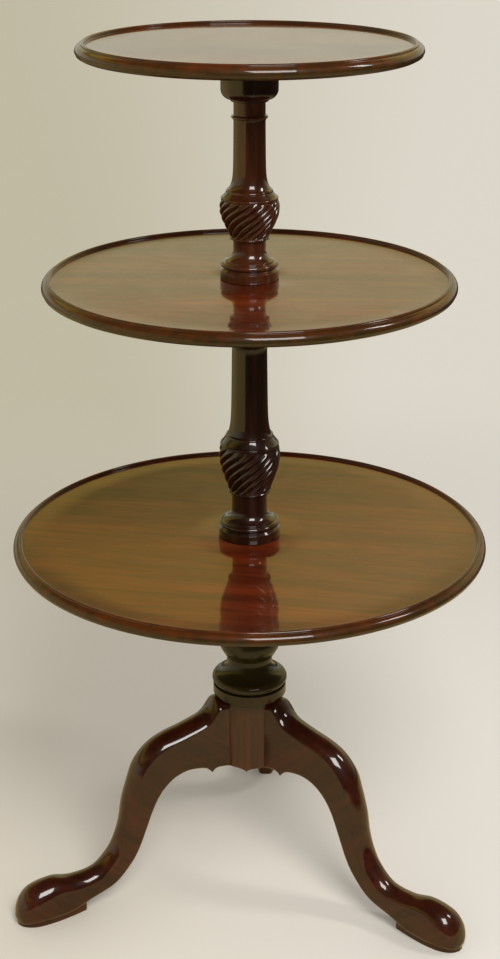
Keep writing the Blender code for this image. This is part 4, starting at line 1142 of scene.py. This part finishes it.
# Painted shade and light: the paper is darker on the left and lighter on the right.
painted_light_to_right = toward(tree, place, RIGHT, -0.60, 0.50)
paper_with_painted_shade = blend_colour(tree, painted_light_to_right, PAPER_LEFT_SHADED, PAPER_RIGHT_LIT)
paper_with_painted_shade = blend_colour(tree, rays["Is Glossy Ray"], paper_with_painted_shade, PAPER_IN_POLISH)
tree.links.new(paper_with_painted_shade, matt.inputs["Base Color"])
print("the paper's colour on the left:", PAPER_LEFT_SHADED)

# %% The fade from paper to even tone
reach = math_node(tree, "MULTIPLY", distance, math_node(tree, "MULTIPLY_ADD", behind, -0.8, 1.8))
far = [
    math_node(tree, "MULTIPLY", ramp(tree, measure, start, 2.2), rays[kind])
    for measure, start, kind in ((reach, 0.85, "Is Camera Ray"), (distance, 0.8, "Is Glossy Ray"))
]
far = math_node(tree, "ADD", *far, clamp=True)
surface = mix_shaders(tree, far, matt.outputs[0], even.outputs[0])
tree.links.new(surface, tree.nodes["Material Output"].inputs["Surface"])
floor.data.materials.append(paper)
print("the floor has", len(tree.nodes), "nodes in its material")

# %% World
LOW_WALL, PALE_WALL = (0.680, 0.660, 0.520), (0.700, 0.620, 0.330)
GREEN_WALL, TAN_WALL = (0.190, 0.180, 0.020), (0.700, 0.560, 0.170)
AMBER_WALL, BRIGHT_WALL = (0.780, 0.560, 0.090), (1.000, 0.780, 0.280)
FILL_LEVEL = (0.420, 0.407, 0.379), (0.950, 0.920, 0.861)
FILL_ABOVE = (0.260, 0.252, 0.235), (0.640, 0.620, 0.580)

world = bpy.data.worlds.new("pale_room")
bpy.context.scene.world = world
world.use_nodes = True
tree = world.node_tree
tree.nodes.clear()
direction = new_node(tree, "ShaderNodeTexCoord").outputs["Generated"]
across = toward(tree, direction, RIGHT, -0.22, 0.06)
light_side = toward(tree, direction, LIGHT_SIDE, -0.70, 0.30)
wall = LOW_WALL
for low, high, above in (
    (0.13, 0.25, PALE_WALL),
    (0.27, 0.34, blend_colour(tree, across, GREEN_WALL, TAN_WALL)),
    (0.36, 0.43, blend_colour(tree, across, AMBER_WALL, BRIGHT_WALL)),
    (0.47, 0.66, DARK_ROOM),
):
    wall = blend_colour(tree, toward(tree, direction, UP, low, high), wall, above)
wall = blend_colour(tree, light_side, DARK_ROOM, wall)
level, over = (blend_colour(tree, light_side, *tones) for tones in (FILL_LEVEL, FILL_ABOVE))
soft = blend_colour(tree, toward(tree, direction, UP, 0.30, 0.80), level, over)
backdrop, mirrored, fill = (
    new_node(tree, "ShaderNodeBackground", Strength=1.0, Color=colour).outputs[0]
    for colour in ((*BACKDROP, 1.0), wall, soft)
)
rays = new_node(tree, "ShaderNodeLightPath").outputs
mirror = math_node(tree, "ADD", rays["Is Glossy Ray"], rays["Is Transmission Ray"], clamp=True)
unseen = mix_shaders(tree, mirror, fill, mirrored)
output = new_node(tree, "ShaderNodeOutputWorld")
surface = mix_shaders(tree, rays["Is Camera Ray"], unseen, backdrop)
tree.links.new(surface, output.inputs["Surface"])
print("world is", world.name)

# %% [markdown]
# ## The lamps
#
# Two highlights show on every neck, knee and toe: a wide one near the middle and
# a narrow one to its right.  Followed back from the columns, they lead to a large
# soft box above and to the right of the camera and a narrow one on the right.  The
# large one hangs low enough to shine under the lowest tray onto the legs.  A weak
# low fill in front lifts the shadows and isn't mirrored in the polish.

# %% Soft boxes
def soft_box(name, place, aim, size, power, mirrored=True):
    """A rectangular lamp at a place, facing a point."""
    data = bpy.data.lights.new(name, "AREA")
    data.shape = "RECTANGLE"
    data.size, data.size_y = size
    data.energy = power
    data.color = (1.0, 0.97, 0.92)
    lamp = bpy.data.objects.new(name, data)
    bpy.context.scene.collection.objects.link(lamp)
    lamp.location = place
    lamp.visible_glossy = mirrored
    lamp.rotation_euler = (Vector(aim) - Vector(place)).to_track_quat("-Z", "Y").to_euler()
    print(name, "gives", round(power / (math.pi * size[0] * size[1]), 1), "times white")


MIDDLE = (0.0, 0.0, 0.70)
soft_box("main_box", (1.014, -2.556, 3.160), MIDDLE, (1.61, 1.68), 116.0)
soft_box("side_box", (2.00, -0.05, 2.40), MIDDLE, (0.38, 0.75), 17.0)
soft_box("front_fill", (0.10, -3.60, 1.50), (0.0, 0.0, 0.30), (1.80, 1.00), 9.0, mirrored=False)

# %% [markdown]
# ## Last checks
#
# The picture is shown in the Standard view, so a colour comes out as it is
# written.  How much the visual model's box grew beyond the engineering model's
# box is printed.

# %% Finish
bpy.context.scene.view_settings.view_transform = "Standard"
new_low, new_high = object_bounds()
grown = zip(cad_high - cad_low, new_high - new_low)
print("box grew by", [round((b - a) * 1000, 2) for a, b in grown], "mm")
